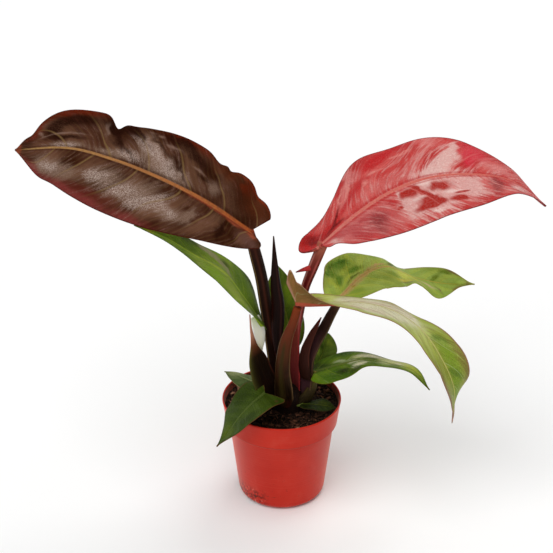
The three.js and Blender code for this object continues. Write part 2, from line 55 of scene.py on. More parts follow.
class Paint:
    """A material, with short ways to wire its nodes. A socket is fed by another socket or by a value."""

    def __init__(self, name, **constants):
        self.material = bpy.data.materials.new(name)
        self.material.use_nodes = True
        self.tree = self.material.node_tree
        self.shader = self.tree.nodes["Principled BSDF"]
        for socket, value in constants.items():
            self.shader.inputs[socket.replace("_", " ")].default_value = value

    def feed(self, socket, value):
        if isinstance(value, bpy.types.NodeSocket):
            self.tree.links.new(value, socket)
        elif value is not None:
            socket.default_value = value

    def add(self, kind, *inputs, **settings):
        node = self.tree.nodes.new("ShaderNode" + kind)
        for name, value in settings.items():
            setattr(node, name, value)
        for socket, value in zip(node.inputs, inputs):
            self.feed(socket, value)
        return node

    def math(self, operation, a, b=None):
        return self.add("Math", a, b, operation=operation).outputs[0]

    def times(self, product, *factors):
        for factor in factors:
            product = self.math("MULTIPLY", product, factor)
        return product

    def step(self, value, low, high, start=0.0, end=1.0):
        """A smooth step from start to end as value goes from low to high."""
        node = self.add("MapRange", value, low, high, start, end, interpolation_type="SMOOTHSTEP")
        return node.outputs[0]

    def mix(self, amount, a, b):
        node = self.add("Mix", data_type="RGBA")
        for k, value in ((0, amount), (6, a), (7, b)):
            self.feed(node.inputs[k], colour(value) if isinstance(value, str) else value)
        return node.outputs[2]

    def coats(self, base, *coats):
        """Colours laid over base one after another, each as how much of it there is, and the colour."""
        for amount, coat in coats:
            base = self.mix(amount, base, coat)
        return base

    def ramp(self, value, stops):
        """Colours at places from 0 to 1, blended between."""
        node = self.add("ValToRGB", value)
        elements = node.color_ramp.elements
        while len(elements) < len(stops):
            elements.new(1.0)
        for element, (place, code) in zip(elements, stops):
            element.position = place
            element.color = colour(code)
        return node.outputs[0]

    def place(self):
        return self.add("TexCoord").outputs["Object"]

    def value(self, attribute):
        """A number that the mesh carries for each point."""
        return self.add("Attribute", attribute_name=attribute).outputs["Fac"]

    def along(self):
        """How far along the piece and how far across or round it, both from 0 to 1, from its own map."""
        parts = self.add("SeparateXYZ", self.add("UVMap", uv_map="map").outputs[0])
        return parts.outputs[0], parts.outputs[1]

    def vector(self, x, y=0.0, z=0.0):
        return self.add("CombineXYZ", x, y, z).outputs[0]

    def noise(self, vector, scale, detail=2.0, roughness=0.5):
        node = self.add("TexNoise")
        values = {"Vector": vector, "Scale": scale, "Detail": detail, "Roughness": roughness}
        for name, value in values.items():
            self.feed(node.inputs[name], value)
        return node.outputs[0]

    def finish(self, base, roughness, height=None, depth=0.0003):
        """Wires colour, roughness and, with a height, a bump that is depth metres high."""
        self.feed(self.shader.inputs["Base Color"], base)
        self.feed(self.shader.inputs["Roughness"], roughness)
        if height is not None:
            bump = self.add("Bump")
            self.feed(bump.inputs["Height"], height)
            self.feed(bump.inputs["Distance"], depth)
            self.feed(self.shader.inputs["Normal"], bump.outputs[0])
        return self.material


def grid_faces(rows, columns, closed=False):
    """Four-sided faces of a grid of points; closed joins its last column to its first."""
    i, j = np.meshgrid(np.arange(rows - 1), np.arange(columns if closed else columns - 1), indexing="ij")
    k = (j + 1) % columns
    faces = np.stack([i * columns + j, i * columns + k, (i + 1) * columns + k, (i + 1) * columns + j], -1)
    return faces.reshape(-1, 4)


def new_piece(name, points, faces, material, uv=None, **values):
    """A smooth mesh from whole arrays: points, blocks of faces, a map, and numbers for each point."""
    mesh = bpy.data.meshes.new(name)
    faces = [face for block in faces for face in block.tolist()]
    mesh.from_pydata(points.reshape(-1, 3).tolist(), [], faces)
    corner = np.empty(len(mesh.loops), np.int32)
    mesh.loops.foreach_get("vertex_index", corner)
    if uv is not None:
        mesh.uv_layers.new(name="map").data.foreach_set("uv", uv.reshape(-1, 2)[corner].ravel())
    for key, value in values.items():
        layer = mesh.attributes.new(key, "FLOAT", "POINT")
        layer.data.foreach_set("value", np.asarray(value, np.float32).ravel())
    mesh.shade_smooth()
    mesh.materials.append(material)
    piece = bpy.data.objects.new(name, mesh)
    bpy.context.scene.collection.objects.link(piece)
    return piece


def turned(profile, sides):
    """A closed line of [radius, height] points turned round the vertical axis, as rows of sides points."""
    angle = np.linspace(0, 2 * np.pi, sides, endpoint=False)
    radius, height = np.asarray(profile, float).T
    ring = np.stack([np.cos(angle), np.sin(angle)], -1)
    points = np.zeros((len(radius), sides, 3))
    points[..., :2] = radius[:, None, None] * ring
    points[..., 2] = height[:, None]
    return points


def arc(centre_r, centre_z, radius, start, end, steps):
    """Points of a rounding in a profile, between two angles in degrees."""
    angle = np.radians(np.linspace(start, end, steps))
    return [[centre_r + radius * np.cos(a), centre_z + radius * np.sin(a)] for a in angle]


def pot_paint():
    """Soft red plastic: clouded, with fine lines round it, specks of dry peat low down, dark and pale dirt
    at the left of its foot, dust, painted shade under the step of the collar, and inside it a darker red
    that is painted shade, clouded with peat stuck to it."""
    paint = Paint("pot_plastic", Specular_IOR_Level=0.1, Sheen_Weight=0.6, Sheen_Roughness=0.35,
                  Sheen_Tint=(1.0, 0.45, 0.38, 1.0))
    place = paint.place()
    x, _, height = paint.add("SeparateXYZ", place).outputs[:3]
    cloud = paint.noise(place, 22, 4)
    lines = paint.noise(paint.vector(0.0, 0.0, paint.times(height, 900)), 1, 3)
    low = paint.step(height, 0.0, 0.09, 1, 0)
    specks = paint.step(paint.noise(place, 340, 2), 0.66, 0.74)
    corner = paint.times(paint.step(x, -0.01, -0.026), paint.step(height, 0.026, 0.01))
    dirt = paint.noise(place, 260, 4, 0.7)
    base = paint.coats(
        paint.mix(paint.step(cloud, 0.3, 0.72), "bc2415", "c82d1d"),
        (paint.step(lines, 0.45, 0.8, 0, 0.25), "cf5a48"),
        (paint.times(specks, paint.times(low, 0.55)), "4b2216"),
        (paint.times(paint.step(dirt, 0.47, 0.56), corner), "3a170c"),
        (paint.times(paint.step(dirt, 0.4, 0.34), corner), "d8a890"),
        (paint.times(paint.step(paint.noise(place, 45, 5, 0.7), 0.52, 0.75), 0.12), "c8695a"),
        # painted shade under the step of the collar
        (paint.times(paint.value("step_edge"), 0.6), "781a10"),
        # inside the rim: a darker red that is painted shade, clouded with peat stuck to it
        (paint.value("inside"),
         paint.mix(paint.step(paint.noise(place, 380, 4, 0.65), 0.42, 0.6), "84341f", "381a0f")))
    rough = paint.step(cloud, 0.2, 0.8, 0.34, 0.5)
    relief = paint.math("ADD", lines, paint.times(paint.noise(place, 500, 2), 0.5))
    return paint.finish(base, rough, relief, 0.00012)


def stand_in(piece, node):
    """The piece moves with the plant's one body and stands for a node of the frame, which it hides."""
    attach(piece, "root")
    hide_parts(node)


POT_HEIGHT, COLLAR_HEIGHT, POT_FOOT, FOOT_ROUNDING, POT_WALL, POT_SIDES = 108, 25, 44.5, 7, 1.5, 160
STEP = POT_HEIGHT - COLLAR_HEIGHT
FLOOR_RADIUS = POT_FOOT - FOOT_ROUNDING
side_line = [*arc(FLOOR_RADIUS, FOOT_ROUNDING, FOOT_ROUNDING, -90, -4, 10), [53.1, STEP - 2.2]]
step_line = [[53.5, STEP - 1.4], [54.6, STEP - 1.1], [55.9, STEP - 0.9], [56.4, STEP - 0.4]]
collar_line = [[56.55, STEP + 0.6], [56.8, STEP + 3], [59.7, 106], [60, 107], [59.9, 107.8],
               [59.25, 108.35], [58.6, 107.8]]
inner_line = [[58.3, 106.6], [55.2, STEP + 2], [52, STEP - 0.5],
              *arc(FLOOR_RADIUS, FOOT_ROUNDING, FOOT_ROUNDING - POT_WALL, -6, -90, 8)]
rows = [len(line) for line in (side_line, step_line, collar_line, inner_line)]
ring = np.arange(POT_SIDES)
last = (sum(rows) - 1) * POT_SIDES
seam = np.stack([last + ring, last + np.roll(ring, -1), np.roll(ring, -1), ring], -1)
pot_material = pot_paint()
pot_wall = new_piece(
    "pot_wall", turned(side_line + step_line + collar_line + inner_line, POT_SIDES) * MM,
    [grid_faces(sum(rows), POT_SIDES, closed=True), seam], pot_material,
    inside=np.repeat([0, 0, 0, 1], np.multiply(rows, POT_SIDES)),
    # the rows under the collar's step, where shade is painted
    step_edge=np.repeat([0, 1, 0, 0], np.multiply(rows, POT_SIDES)))
stand_in(pot_wall, "pot")


# The pot's floor: a flat disc of the same plastic, moulded with eight round holes that let water out.

def pierced_disc(name, radius, holes, thickness, material):
    """A flat disc, its underside at height 0, cut by round holes [x, y, radius], in millimetres."""
    outline = bpy.data.curves.new(name, "CURVE")
    outline.dimensions = "2D"
    outline.fill_mode = "BOTH"
    outline.extrude = thickness / 2 * MM
    for x, y, r, sides in [(0, 0, radius, POT_SIDES), *((x, y, r, 32) for x, y, r in holes)]:
        spline = outline.splines.new("POLY")
        spline.points.add(sides - 1)
        angle = np.linspace(0, 2 * np.pi, sides, endpoint=False)
        circle = np.stack([x + r * np.cos(angle), y + r * np.sin(angle), 0 * angle], -1) * MM
        spline.points.foreach_set("co", np.column_stack([circle, np.ones(sides)]).ravel())
        spline.use_cyclic_u = True
    drawn = bpy.data.objects.new(name, outline)
    mesh = bpy.data.meshes.new_from_object(drawn)
    bpy.data.objects.remove(drawn)
    mesh.transform(Matrix.Translation((0, 0, thickness / 2 * MM)))
    mesh.materials.clear()
    mesh.materials.append(material)
    piece = bpy.data.objects.new(name, mesh)
    bpy.context.scene.collection.objects.link(piece)
    return piece


HOLES, HOLE_RADIUS, HOLE_CIRCLE = 8, 3.5, 29
turns = 2 * np.pi * (np.arange(HOLES) + 0.5) / HOLES
holes = [(HOLE_CIRCLE * np.cos(a), HOLE_CIRCLE * np.sin(a), HOLE_RADIUS) for a in turns]
pot_floor = pierced_disc("pot_floor", FLOOR_RADIUS, holes, POT_WALL, pot_material)
stand_in(pot_floor, "pot")


# The soil: dark moist peat that fills the pot to 10 mm under the rim, lumpy on top, with paler chips
# of bark and short brown fibres lying on it. It is pressed into the pot by hand around the crown.

def lumps(points, cell, seed):
    """Smooth noise from -1 to 1: seeded random numbers at the corners of a grid, blended between."""
    table = np.random.default_rng(seed).uniform(-1, 1, (64, 64, 64))
    scaled = points / cell + 31.7
    low = np.floor(scaled).astype(int)
    part = scaled - low
    part = part * part * (3 - 2 * part)
    total = 0
    for corner in np.ndindex(2, 2, 2):
        weight = np.prod(np.where(corner, part, 1 - part), axis=-1)
        x, y, z = np.moveaxis((low + corner) % 64, -1, 0)
        total = total + weight * table[x, y, z]
    return total


def soil_paint():
    """Peat: near black in the hollows of its bump, which is painted shade, brown on the lumps, with grains
    of several browns.
    """
    paint = Paint("peat", Specular_IOR_Level=0.08)
    place = paint.place()
    coarse = paint.noise(place, 260, 4, 0.6)
    # The coarse noise sets both colour and bump, so the hollows are painted near black as shade.
    base = paint.ramp(coarse, [(0.3, "0a0604"), (0.52, "1a0f0a"), (0.64, "3a2419"), (0.78, "644433")])
    grains = paint.step(paint.noise(place, 900, 2), 0.62, 0.7)
    base = paint.mix(paint.times(grains, 0.5), base, "8a6450")
    height = paint.math("ADD", coarse, paint.noise(place, 1100, 3))
    return paint.finish(base, 0.9, height, 0.0012)


def capped(name, rings, start, finish, material):
    """A piece of closed rings of points one above another, drawn together to a point below and above."""
    rows, sides = rings.shape[:2]
    points = np.concatenate([[start], rings.reshape(-1, 3), [finish]])
    first = 1 + np.arange(sides)
    final = first + (rows - 1) * sides
    under = np.stack([0 * first, np.roll(first, -1), first], -1)
    over = np.stack([0 * first + len(points) - 1, final, np.roll(final, -1)], -1)
    return new_piece(name, points * MM, [grid_faces(rows, sides, closed=True) + 1, under, over], material)


SOIL_TOP, SOIL_DOME, SOIL_EDGE, SOIL_FOOT, SOIL_SIDES = 96.1, 3, 57, 2.1, 260


def soil_height(share):
    """Height of the soil at a share of the way out to its edge: a low dome, banked up against the pot."""
    return SOIL_TOP + SOIL_DOME * (1 - share ** 2) + 5 * np.exp(-((1 - share) / 0.1) ** 2)


share = np.linspace(1, 0.02, 90)[:, None]
angle = np.linspace(0, 2 * np.pi, SOIL_SIDES, endpoint=False)[None]
top = SOIL_EDGE * np.stack(np.broadcast_arrays(share * np.cos(angle), share * np.sin(angle), 0.0), -1)
rough = 1.3 * lumps(top, 9, 1) + 0.9 * lumps(top, 3.5, 2) + 0.5 * lumps(top, 1.5, 3)
top[..., 2] = soil_height(share) + rough * np.minimum(1, (1 - share) * 12 + 0.3)
wall = turned([[36.9, SOIL_FOOT], [43, 9], [51.5, 80], [51.8, 82], [54.9, 86], [56.3, 96]], SOIL_SIDES)
soil_mass = capped("soil_mass", np.concatenate([wall, top]), [0, 0, SOIL_FOOT], [0, 0, soil_height(0)],
                   soil_paint())
stand_in(soil_mass, "soil")


# Chips of bark and peat crumbs lie loose on the soil, with short fibres between them. They have dried
# paler than the peat under them, and those at the far left are painted paler still, as painted light.

def spun_and_tipped(spin, tip):
    """Rotation matrices that tip a thing about its own X axis and then spin it about the vertical."""
    c, s, ct, st = np.cos(spin), np.sin(spin), np.cos(tip), np.sin(tip)
    zero = np.zeros_like(c)
    return np.stack([np.stack([c, -s * ct, s * st], -1), np.stack([s, c * ct, -c * st], -1),
                     np.stack([zero, st, ct], -1)], -2)


def chip_paint():
    """Bark chips, each in its own brown."""
    paint = Paint("bark_chips", Specular_IOR_Level=0.1)
    tone = paint.value("tone")
    base = paint.ramp(tone, [(0.0, "140b07"), (0.4, "3e261b"), (0.7, "744a36"), (1.0, "b08468")])
    fleck = paint.noise(paint.place(), 1200, 3)
    base = paint.mix(paint.step(fleck, 0.5, 0.75, 0, 0.5), base, "1a100a")
    return paint.finish(base, 0.85, fleck, 0.0004)


random = np.random.default_rng(7)


def scattered(count, reach):
    """Places spread evenly over the soil, out to reach from its middle."""
    distance = reach * np.sqrt(random.uniform(0.05, 1, count))
    bearing = random.uniform(0, 2 * np.pi, count)
    return np.stack([distance * np.cos(bearing), distance * np.sin(bearing)], -1)


CHIPS, CHIP_REACH, PAINTED_LIGHT_LEFT_OF = 760, 55, -32
centre = scattered(CHIPS, CHIP_REACH)
size = random.lognormal(0.05, 0.45, (CHIPS, 1))
size = size * random.uniform([1.0, 0.55, 0.25], [1.9, 1.1, 0.6], (CHIPS, 3))
turn = spun_and_tipped(random.uniform(0, 2 * np.pi, CHIPS), random.normal(0, 0.4, CHIPS))
block = np.array([[x, y, z] for x in (-1, 1) for y in (-1, 1) for z in (-1, 1)], float)
block = block[None] * random.uniform(0.55, 1, (CHIPS, 8, 3)) * size[:, None]
chips = np.einsum("nij,nkj->nki", turn, block)
chips[..., :2] += centre[:, None]
ground = soil_height(np.hypot(*centre.T) / SOIL_EDGE)
chips[..., 2] += ground[:, None] + 0.3 + random.uniform(0, 0.9, (CHIPS, 1))
box_faces = np.array([[0, 1, 3, 2], [4, 6, 7, 5], [0, 4, 5, 1], [2, 3, 7, 6], [0, 2, 6, 4], [1, 5, 7, 3]])
chip_faces = (np.arange(CHIPS)[:, None, None] * 8 + box_faces).reshape(-1, 4)
chip_material = chip_paint()
bark_chips = new_piece(
    "bark_chips", chips * MM, [chip_faces], chip_material,
    # chips at the far left get a paler tone: painted light
    tone=np.repeat(np.clip(random.beta(1.6, 2.6, CHIPS) + 0.3 * (centre[:, 0] < PAINTED_LIGHT_LEFT_OF), 0, 1), 8))
stand_in(bark_chips, "soil")

FIBRES, FIBRE_REACH, FIBRE_STEPS, FIBRE_SIDES = 170, 53, 9, 4
start = scattered(FIBRES, FIBRE_REACH)
heading = random.uniform(0, 2 * np.pi, FIBRES)
bend = random.normal(0, 1.1, FIBRES)
length = random.uniform(4, 13, FIBRES)
way = np.linspace(0, 1, FIBRE_STEPS)
facing = heading[:, None] + bend[:, None] * way
stride = length[:, None] / (FIBRE_STEPS - 1)
line = np.zeros((FIBRES, FIBRE_STEPS, 3))
line[..., 0] = start[:, :1] + np.cumsum(np.cos(facing) * stride, 1)
line[..., 1] = start[:, 1:] + np.cumsum(np.sin(facing) * stride, 1)
line[..., :2] *= np.minimum(1, (FIBRE_REACH + 1.5) / np.hypot(line[..., 0], line[..., 1]))[..., None]
ground = soil_height(np.hypot(line[..., 0], line[..., 1]) / SOIL_EDGE)
line[..., 2] = ground + 0.7 + random.uniform(0, 1.1, (FIBRES, 1)) * np.sin(np.pi * way)
side = np.stack([-np.sin(facing), np.cos(facing), 0 * facing], -1)
around = np.linspace(0, 2 * np.pi, FIBRE_SIDES, endpoint=False)
thick = (random.uniform(0.12, 0.28, FIBRES)[:, None] * (1 - 0.6 * way))[..., None, None]
tube = line[:, :, None] + thick * (
    np.cos(around)[:, None] * side[:, :, None] + np.sin(around)[:, None] * np.array([0, 0, 1.0]))
per = FIBRE_STEPS * FIBRE_SIDES
first = np.arange(FIBRES)[:, None, None] * per
tube_faces = (first + grid_faces(FIBRE_STEPS, FIBRE_SIDES, closed=True)).reshape(-1, 4)
ends = np.array([[3, 2, 1, 0], per - 4 + np.arange(4)])
peat_fibres = new_piece(
    "peat_fibres", tube * MM, [tube_faces, (first + ends).reshape(-1, 4)], chip_material,
    tone=np.repeat(random.uniform(0.35, 0.95, FIBRES), per))
stand_in(peat_fibres, "soil")


# The crown: the short stout stem that stands in the soil and carries every leaf, dark brown, with
# rings where old leaves came away.

def stem_paint():
    """Dark brown stem tissue with dry fibres running up it."""
    paint = Paint("crown_stem", Specular_IOR_Level=0.08)
    x, y, z = paint.add("SeparateXYZ", paint.place()).outputs[:3]
    fibres = paint.noise(paint.vector(paint.times(x, 6), paint.times(y, 6), z), 120, 4, 0.6)
    base = paint.ramp(fibres, [(0.3, "0e0704"), (0.55, "1c0f0a"), (0.8, "342014")])
    return paint.finish(base, 0.62, fibres, 0.0005)


CROWN_X, CROWN_Y, CROWN_RADIUS, CROWN_SIDES = 7, -3, 16, 72
CROWN_FOOT, CROWN_SHOULDER, CROWN_TOP = 85.5, 110, 127.6
skin = CROWN_RADIUS - 0.3
bevel_top = CROWN_FOOT + 3
stand = np.linspace(0, 1, 34)[1:]
lift = np.linspace(0, np.pi / 2, 22)[1:-1]
crown_line = np.concatenate([
    [[CROWN_RADIUS - 3, CROWN_FOOT], [CROWN_RADIUS - 0.4, bevel_top]],
    np.stack([skin - 0.35 * np.sin(26 * stand) ** 2, bevel_top + (CROWN_SHOULDER - bevel_top) * stand], -1),
    np.stack([skin * np.cos(lift), CROWN_SHOULDER + (CROWN_TOP - CROWN_SHOULDER) * np.sin(lift)], -1)])
crown_stem = capped(
    "crown_stem", turned(crown_line, CROWN_SIDES) + [CROWN_X, CROWN_Y, 0],
    [CROWN_X, CROWN_Y, CROWN_FOOT], [CROWN_X, CROWN_Y, CROWN_TOP], stem_paint())
stand_in(crown_stem, "crown")


# The arching leaf, the front one: light yellow-green with a pale waxy sheen that is painted reflection,
# and brownish-pink margins.
# Its base is folded up round the midrib, with one ear that stands up, and its tip hangs down.

def spline(values, share):
    """Uniform Catmull-Rom curve through evenly spaced numbers or points, at shares of the way."""
    values = np.asarray(values, float)
    padded = np.concatenate([[2 * values[0] - values[1]], values, [2 * values[-1] - values[-2]]])
    spans = len(values) - 1
    scaled = np.clip(share, 0, 1) * spans
    i = np.minimum(scaled.astype(int), spans - 1)
    t = scaled - i
    if values.ndim > 1:
        t = t[..., None]
    a, b, c, d = (padded[i + k] for k in range(4))
    square, cube = 2 * a - 5 * b + 4 * c - d, 3 * b - a - 3 * c + d
    return (2 * b + (c - a) * t + square * t ** 2 + cube * t ** 3) / 2


def unit(vectors):
    return vectors / np.linalg.norm(vectors, axis=-1, keepdims=True)


def route(points):
    """A smooth curve through points: its length, and a function that gives the place and the direction
    at a distance from its start, straight on past its ends."""
    dense = spline(points, np.linspace(0, 1, 400))
    gone = np.concatenate([[0], np.cumsum(np.linalg.norm(np.diff(dense, axis=0), axis=1))])
    heading = unit(np.gradient(dense, gone, axis=0))

    def at(x):
        inside = np.clip(x, 0, gone[-1])
        place = np.stack([np.interp(inside, gone, dense[:, k]) for k in range(3)], -1)
        forward = unit(np.stack([np.interp(inside, gone, heading[:, k]) for k in range(3)], -1))
        return place + (x - inside)[..., None] * forward, forward

    return gone[-1], at


def bearings(forward, faces, twist=0.0):
    """Unit vectors up and left of what runs forward and faces a given way, turned by twist radians."""
    faces = np.asarray(faces, float)
    up = unit(faces - (forward @ faces)[..., None] * forward)
    left = np.cross(up, forward)
    twist = np.asarray(twist)[..., None]
    return up * np.cos(twist) - left * np.sin(twist), left * np.cos(twist) + up * np.sin(twist)


def mark(code, *spots, strength=0.9, soft=0.48, broken=0.25, grainy=0.25):
    """A patch of colour on a leaf: some marks are its own colour, others painted sheen, highlight or shade.
    Each soft spot of it is [along, across, long, wide], in hundredths of the blade's length and half width,
    and may end in a lean, which moves it on along the blade towards the margin. Its edge is soft and broken
    along the veins, and its strength varies with the skin's grain."""
    spots = [[value / 100 for value in (*spot, 0)[:5]] for spot in spots]
    return dict(colour=code, spots=spots, strength=strength, soft=soft, broken=broken, grainy=grainy)


def spots_on(spots, share, across):
    """Sum of the bell curves of a mark's spots at each point."""
    total = np.zeros(share.shape)
    for s, a, long, wide, lean in spots:
        along = share - s - lean * (np.abs(across) - abs(a))
        total += np.exp(-(along / long) ** 2 - ((across - a) / wide) ** 2)
    return np.minimum(total, 1.2)


def half(fold, lobe, neck, waves=(), rounded=0):
    """Half of a blade: its fold in degrees along the midrib, its lobe behind the stalk and how rounded that
    is, the share of its width at the neck, and waves [share, spread, out, up] of its margin."""
    return dict(fold=fold, lobe=lobe, neck=neck, waves=waves, rounded=rounded)


def blade(name, leaf, material):
    """A leaf blade, closed all round.
    Its middle sheet follows the midrib. At a share of the way along, each half reaches out by the margin's
    width: from neck wide at the back of its lobe, rounding out to half_width at the share widest, and from
    there closing in a power curve to the tip; waves add to it. The lobe reaches back past the start of the
    midrib, straight or rounded. A half is raised from flat by its fold angle, and bulges by camber halfway
    out. Both faces stand off that sheet by half the thickness, thinner at the margin; the midrib is a low
    ridge above and a deep one below, and the leaf swells between its side veins."""
    rows, columns = leaf["rows"], leaf["columns"]
    share = (np.arange(rows + 1) / rows)[:, None] ** 1.3
    across = np.linspace(-1, 1, 2 * columns + 1)[None]
    across = np.sign(across) * np.abs(across) ** 1.4
    share, across = np.broadcast_arrays(share, across)
    away, right = np.abs(across), across < 0
    halves = leaf["right"], leaf["left"]
    neck, lobe, rounded = (
        np.where(right, *(side[key] for side in halves)) for key in ("neck", "lobe", "rounded"))
    widest = leaf["widest"]
    early = np.clip(share / widest, 0, 1)
    late = np.clip((share - widest) / (1 - widest), 0, 1)
    growing = neck + (1 - neck) * np.sqrt(1 - (1 - early) ** 2.2)
    closing = (1 - late ** leaf["taper"]) ** leaf["point"]
    width = leaf["half_width"] * np.where(share < widest, growing, closing)
    rise = leaf["camber"] * np.sin(np.pi * away)
    for side, mask in zip(halves, (right, ~right)):
        for centre, spread, out, up in side["waves"]:
            swell = np.exp(-((share - centre) / spread) ** 2) * mask
            width = width + out * swell
            rise = rise + up * swell * away ** 2
    length, at = route(leaf["midrib"])
    x = length * share - lobe * (1 - share) * (away + rounded * (away - away ** 2))
    width = np.maximum(width, 0.5)
    y = width * away
    place, forward = at(x)
    rib_share = np.clip(x / length, 0, 1)
    up, left = bearings(forward, leaf["faces"], np.radians(spline(leaf["twist"], rib_share)))
    fold = np.radians(np.where(right, *(spline(side["fold"], rib_share) for side in halves)))
    out, raised = np.sign(across) * y * np.cos(fold), y * np.sin(fold) + rise
    sheet = place + left * out[..., None] + up * raised[..., None]
    normal = unit(np.cross(np.gradient(sheet, axis=0), np.gradient(sheet, axis=1)))

    rib_width = leaf["rib"][0] + (leaf["rib"][1] - leaf["rib"][0]) * share
    ridge = np.exp(-(y / rib_width) ** 2)
    flat = np.stack([length * share, y * np.sign(across), 0 * y], -1)
    phase = share * leaf["veins"] - leaf["sweep"] * away ** 1.2 + 0.15 * lumps(flat, 26, 5)
    phase = phase + 0.3 * right - 0.03
    swell = np.abs(np.cos(np.pi * phase)) ** 0.7
    middle = np.sin(np.pi * away)
    quilt = (0.5 - swell) * middle ** 0.7 + 0.9 * lumps(flat, 11, 6) * middle
    quilt = leaf["quilt"] * np.sin(np.pi * share) ** 0.5 * quilt
    thick = 0.42 - 0.24 * away ** 4
    ends = np.minimum(1, (1 - share) * 12)
    upper = sheet + normal * (thick + ends * (0.35 * ridge + quilt))[..., None]
    lower = sheet - normal * (thick + ends * ((2.2 * (1 - share) + 0.2) * ridge - quilt))[..., None]

    count = 2 * columns + 1
    number = np.arange((rows + 1) * count).reshape(rows + 1, count)
    rim = np.concatenate([number[0], number[1:, -1], number[-1, -2::-1], number[-2:0:-1, 0]])
    after = np.roll(rim, -1)
    below = number.size
    quads = grid_faces(rows + 1, count)
    faces = [np.flip(quads, 1), quads + below, np.stack([rim, after, after + below, rim + below], -1)]
    edge = np.minimum(width - y, np.where(away > 0.12, share * length + 0.3, 99))
    both = {"share": share, "away": away, "phase": phase, "rib": np.minimum(y / rib_width, 9),
            "edge": np.minimum(edge, 20)}
    wander = 0.016 * lumps(flat, 9, 8) + 0.008 * lumps(flat, 4, 9)
    for k, patch in enumerate(leaf["marks"]):
        both[f"mark_{k}"] = spots_on(patch["spots"], share + wander, across + 2 * wander)
    values = {key: np.concatenate([value.ravel()] * 2) for key, value in both.items()}
    return new_piece(
        name, np.concatenate([upper.reshape(-1, 3), lower.reshape(-1, 3)]) * MM, faces, material,
        under=np.repeat([0, 1], below), **values)


def leaf_paint(name, marks, upper, deep, vein, rib, rib_tip, margin, under, crest_highlight=None, under_far=None,
               under_tip=None, under_deep=None, under_margin=None, keel=None, gloss=0.08, roughness=0.4,
               grain_scale=620, shade=0.3, relief=0.2, vein_strength=0.5, rib_shadow=0.4, margin_width=1.4):
    """Waxy leaf skin. On its face upper and deep make clouds, with more of deep towards the margin, which
    is painted shade, its strength set by shade; vein is on the side veins and the fine lines between them,
    and past each vein lie painted shade in deep, as of a hollow, and a painted highlight in the crest
    colour, as of a crest, as strong as relief. The marks come over that: some are the leaf's own colours,
    others painted sheen, highlights and shade. The midrib, rib to rib_tip, has a painted shadow line at
    each side and runs out at the tip; margin is the edge. The back goes from under to under_far to
    under_tip, clouded and streaked by under_deep, with its own edge and a keel. Gloss is its shine."""
    paint = Paint(name, Specular_IOR_Level=gloss)
    share, away, phase, from_rib = (paint.value(key) for key in ("share", "away", "phase", "rib"))
    place = paint.place()
    cloud = paint.noise(place, 30, 4)
    grain = paint.step(paint.noise(place, grain_scale, 3, 0.6), 0.36, 0.64)

    def lines(repeat, low):
        """Thin lines along the side veins, repeat of them for each vein."""
        part = paint.math("FRACT", paint.math("ADD", paint.times(phase, repeat), 0.5))
        return paint.step(paint.math("ABSOLUTE", paint.math("SUBTRACT", part, 0.5)), low, 0.0)

    veins = paint.times(lines(1, 0.05), paint.step(away, 1.0, 0.3))
    fibre = paint.vector(paint.times(phase, 11), paint.times(away, 3), cloud)
    streak = paint.step(paint.noise(fibre, 1.0, 4, 0.65), 0.28, 0.72)
    after = paint.math("FRACT", phase)
    # Painted light: deep towards the margin is painted shade, and past each side vein come painted shade,
    # as of a hollow, and a painted highlight, as of a crest.
    raised = paint.times(paint.step(away, 0.0, 0.3), paint.step(away, 1.0, 0.75), relief)
    base = paint.coats(
        paint.mix(paint.step(cloud, 0.34, 0.66), upper, deep),
        (paint.times(paint.step(away, 0.5, 1.0), shade), deep),
        (paint.times(lines(7, 0.3), 0.12), vein),
        (paint.times(paint.step(after, 0.0, 0.1), paint.step(after, 0.55, 0.1), raised), deep),
        (paint.times(paint.step(after, 0.45, 0.75), paint.step(after, 1.0, 0.9), raised), crest_highlight or vein))
    # The marks: the leaf's own colours, and painted sheen, highlights and shade.
    for k, patch in enumerate(marks):
        ragged = paint.times(paint.math("SUBTRACT", streak, 0.5), patch["broken"])
        amount = paint.math("ADD", paint.value(f"mark_{k}"), ragged)
        amount = paint.step(amount, 0.5 - patch["soft"], 0.5 + patch["soft"])
        least = (1 - patch["grainy"]) * patch["strength"]
        amount = paint.times(amount, paint.step(grain, 0, 1, least, patch["strength"]))
        base = paint.mix(amount, base, patch["colour"])
    midrib = paint.mix(paint.step(streak, 0.2, 0.9, 0, 0.3), paint.mix(share, rib, rib_tip), upper)
    run_out = paint.step(share, 1.0, 0.92)
    edge = paint.times(paint.step(paint.value("edge"), margin_width, 0.3), 0.85)
    # The dark lines at each side of the midrib are a painted shadow.
    base = paint.coats(
        base,
        (paint.times(veins, vein_strength), vein),
        (paint.times(paint.step(from_rib, 1.0, 1.5), paint.step(from_rib, 3.2, 1.7), rib_shadow), deep),
        (paint.times(paint.step(from_rib, 1.25, 0.6), run_out), midrib),
        (edge, margin))
    back = paint.coats(
        paint.mix(paint.step(share, 0.12, 0.35), under, under_far or under),
        (paint.step(share, 0.82, 0.94), under_tip or under_far or under),
        (paint.step(cloud, 0.35, 0.7, 0, 0.4), under_deep or deep),
        (paint.step(streak, 0.4, 0.9, 0, 0.3), under_deep or deep),
        (paint.times(veins, 0.2), vein),
        (edge, under_margin or margin),
        (paint.times(paint.step(from_rib, 1.3, 0.7), run_out), keel or rib))
    base = paint.mix(paint.value("under"), base, back)
    rough = paint.step(streak, 0.0, 1.0, roughness - 0.06, roughness + 0.1)
    height = paint.math("ADD", paint.times(streak, 0.35), paint.times(grain, 0.8))
    height = paint.math("SUBTRACT", height, paint.times(veins, 0.4))
    return paint.finish(base, rough, height, 0.0006)


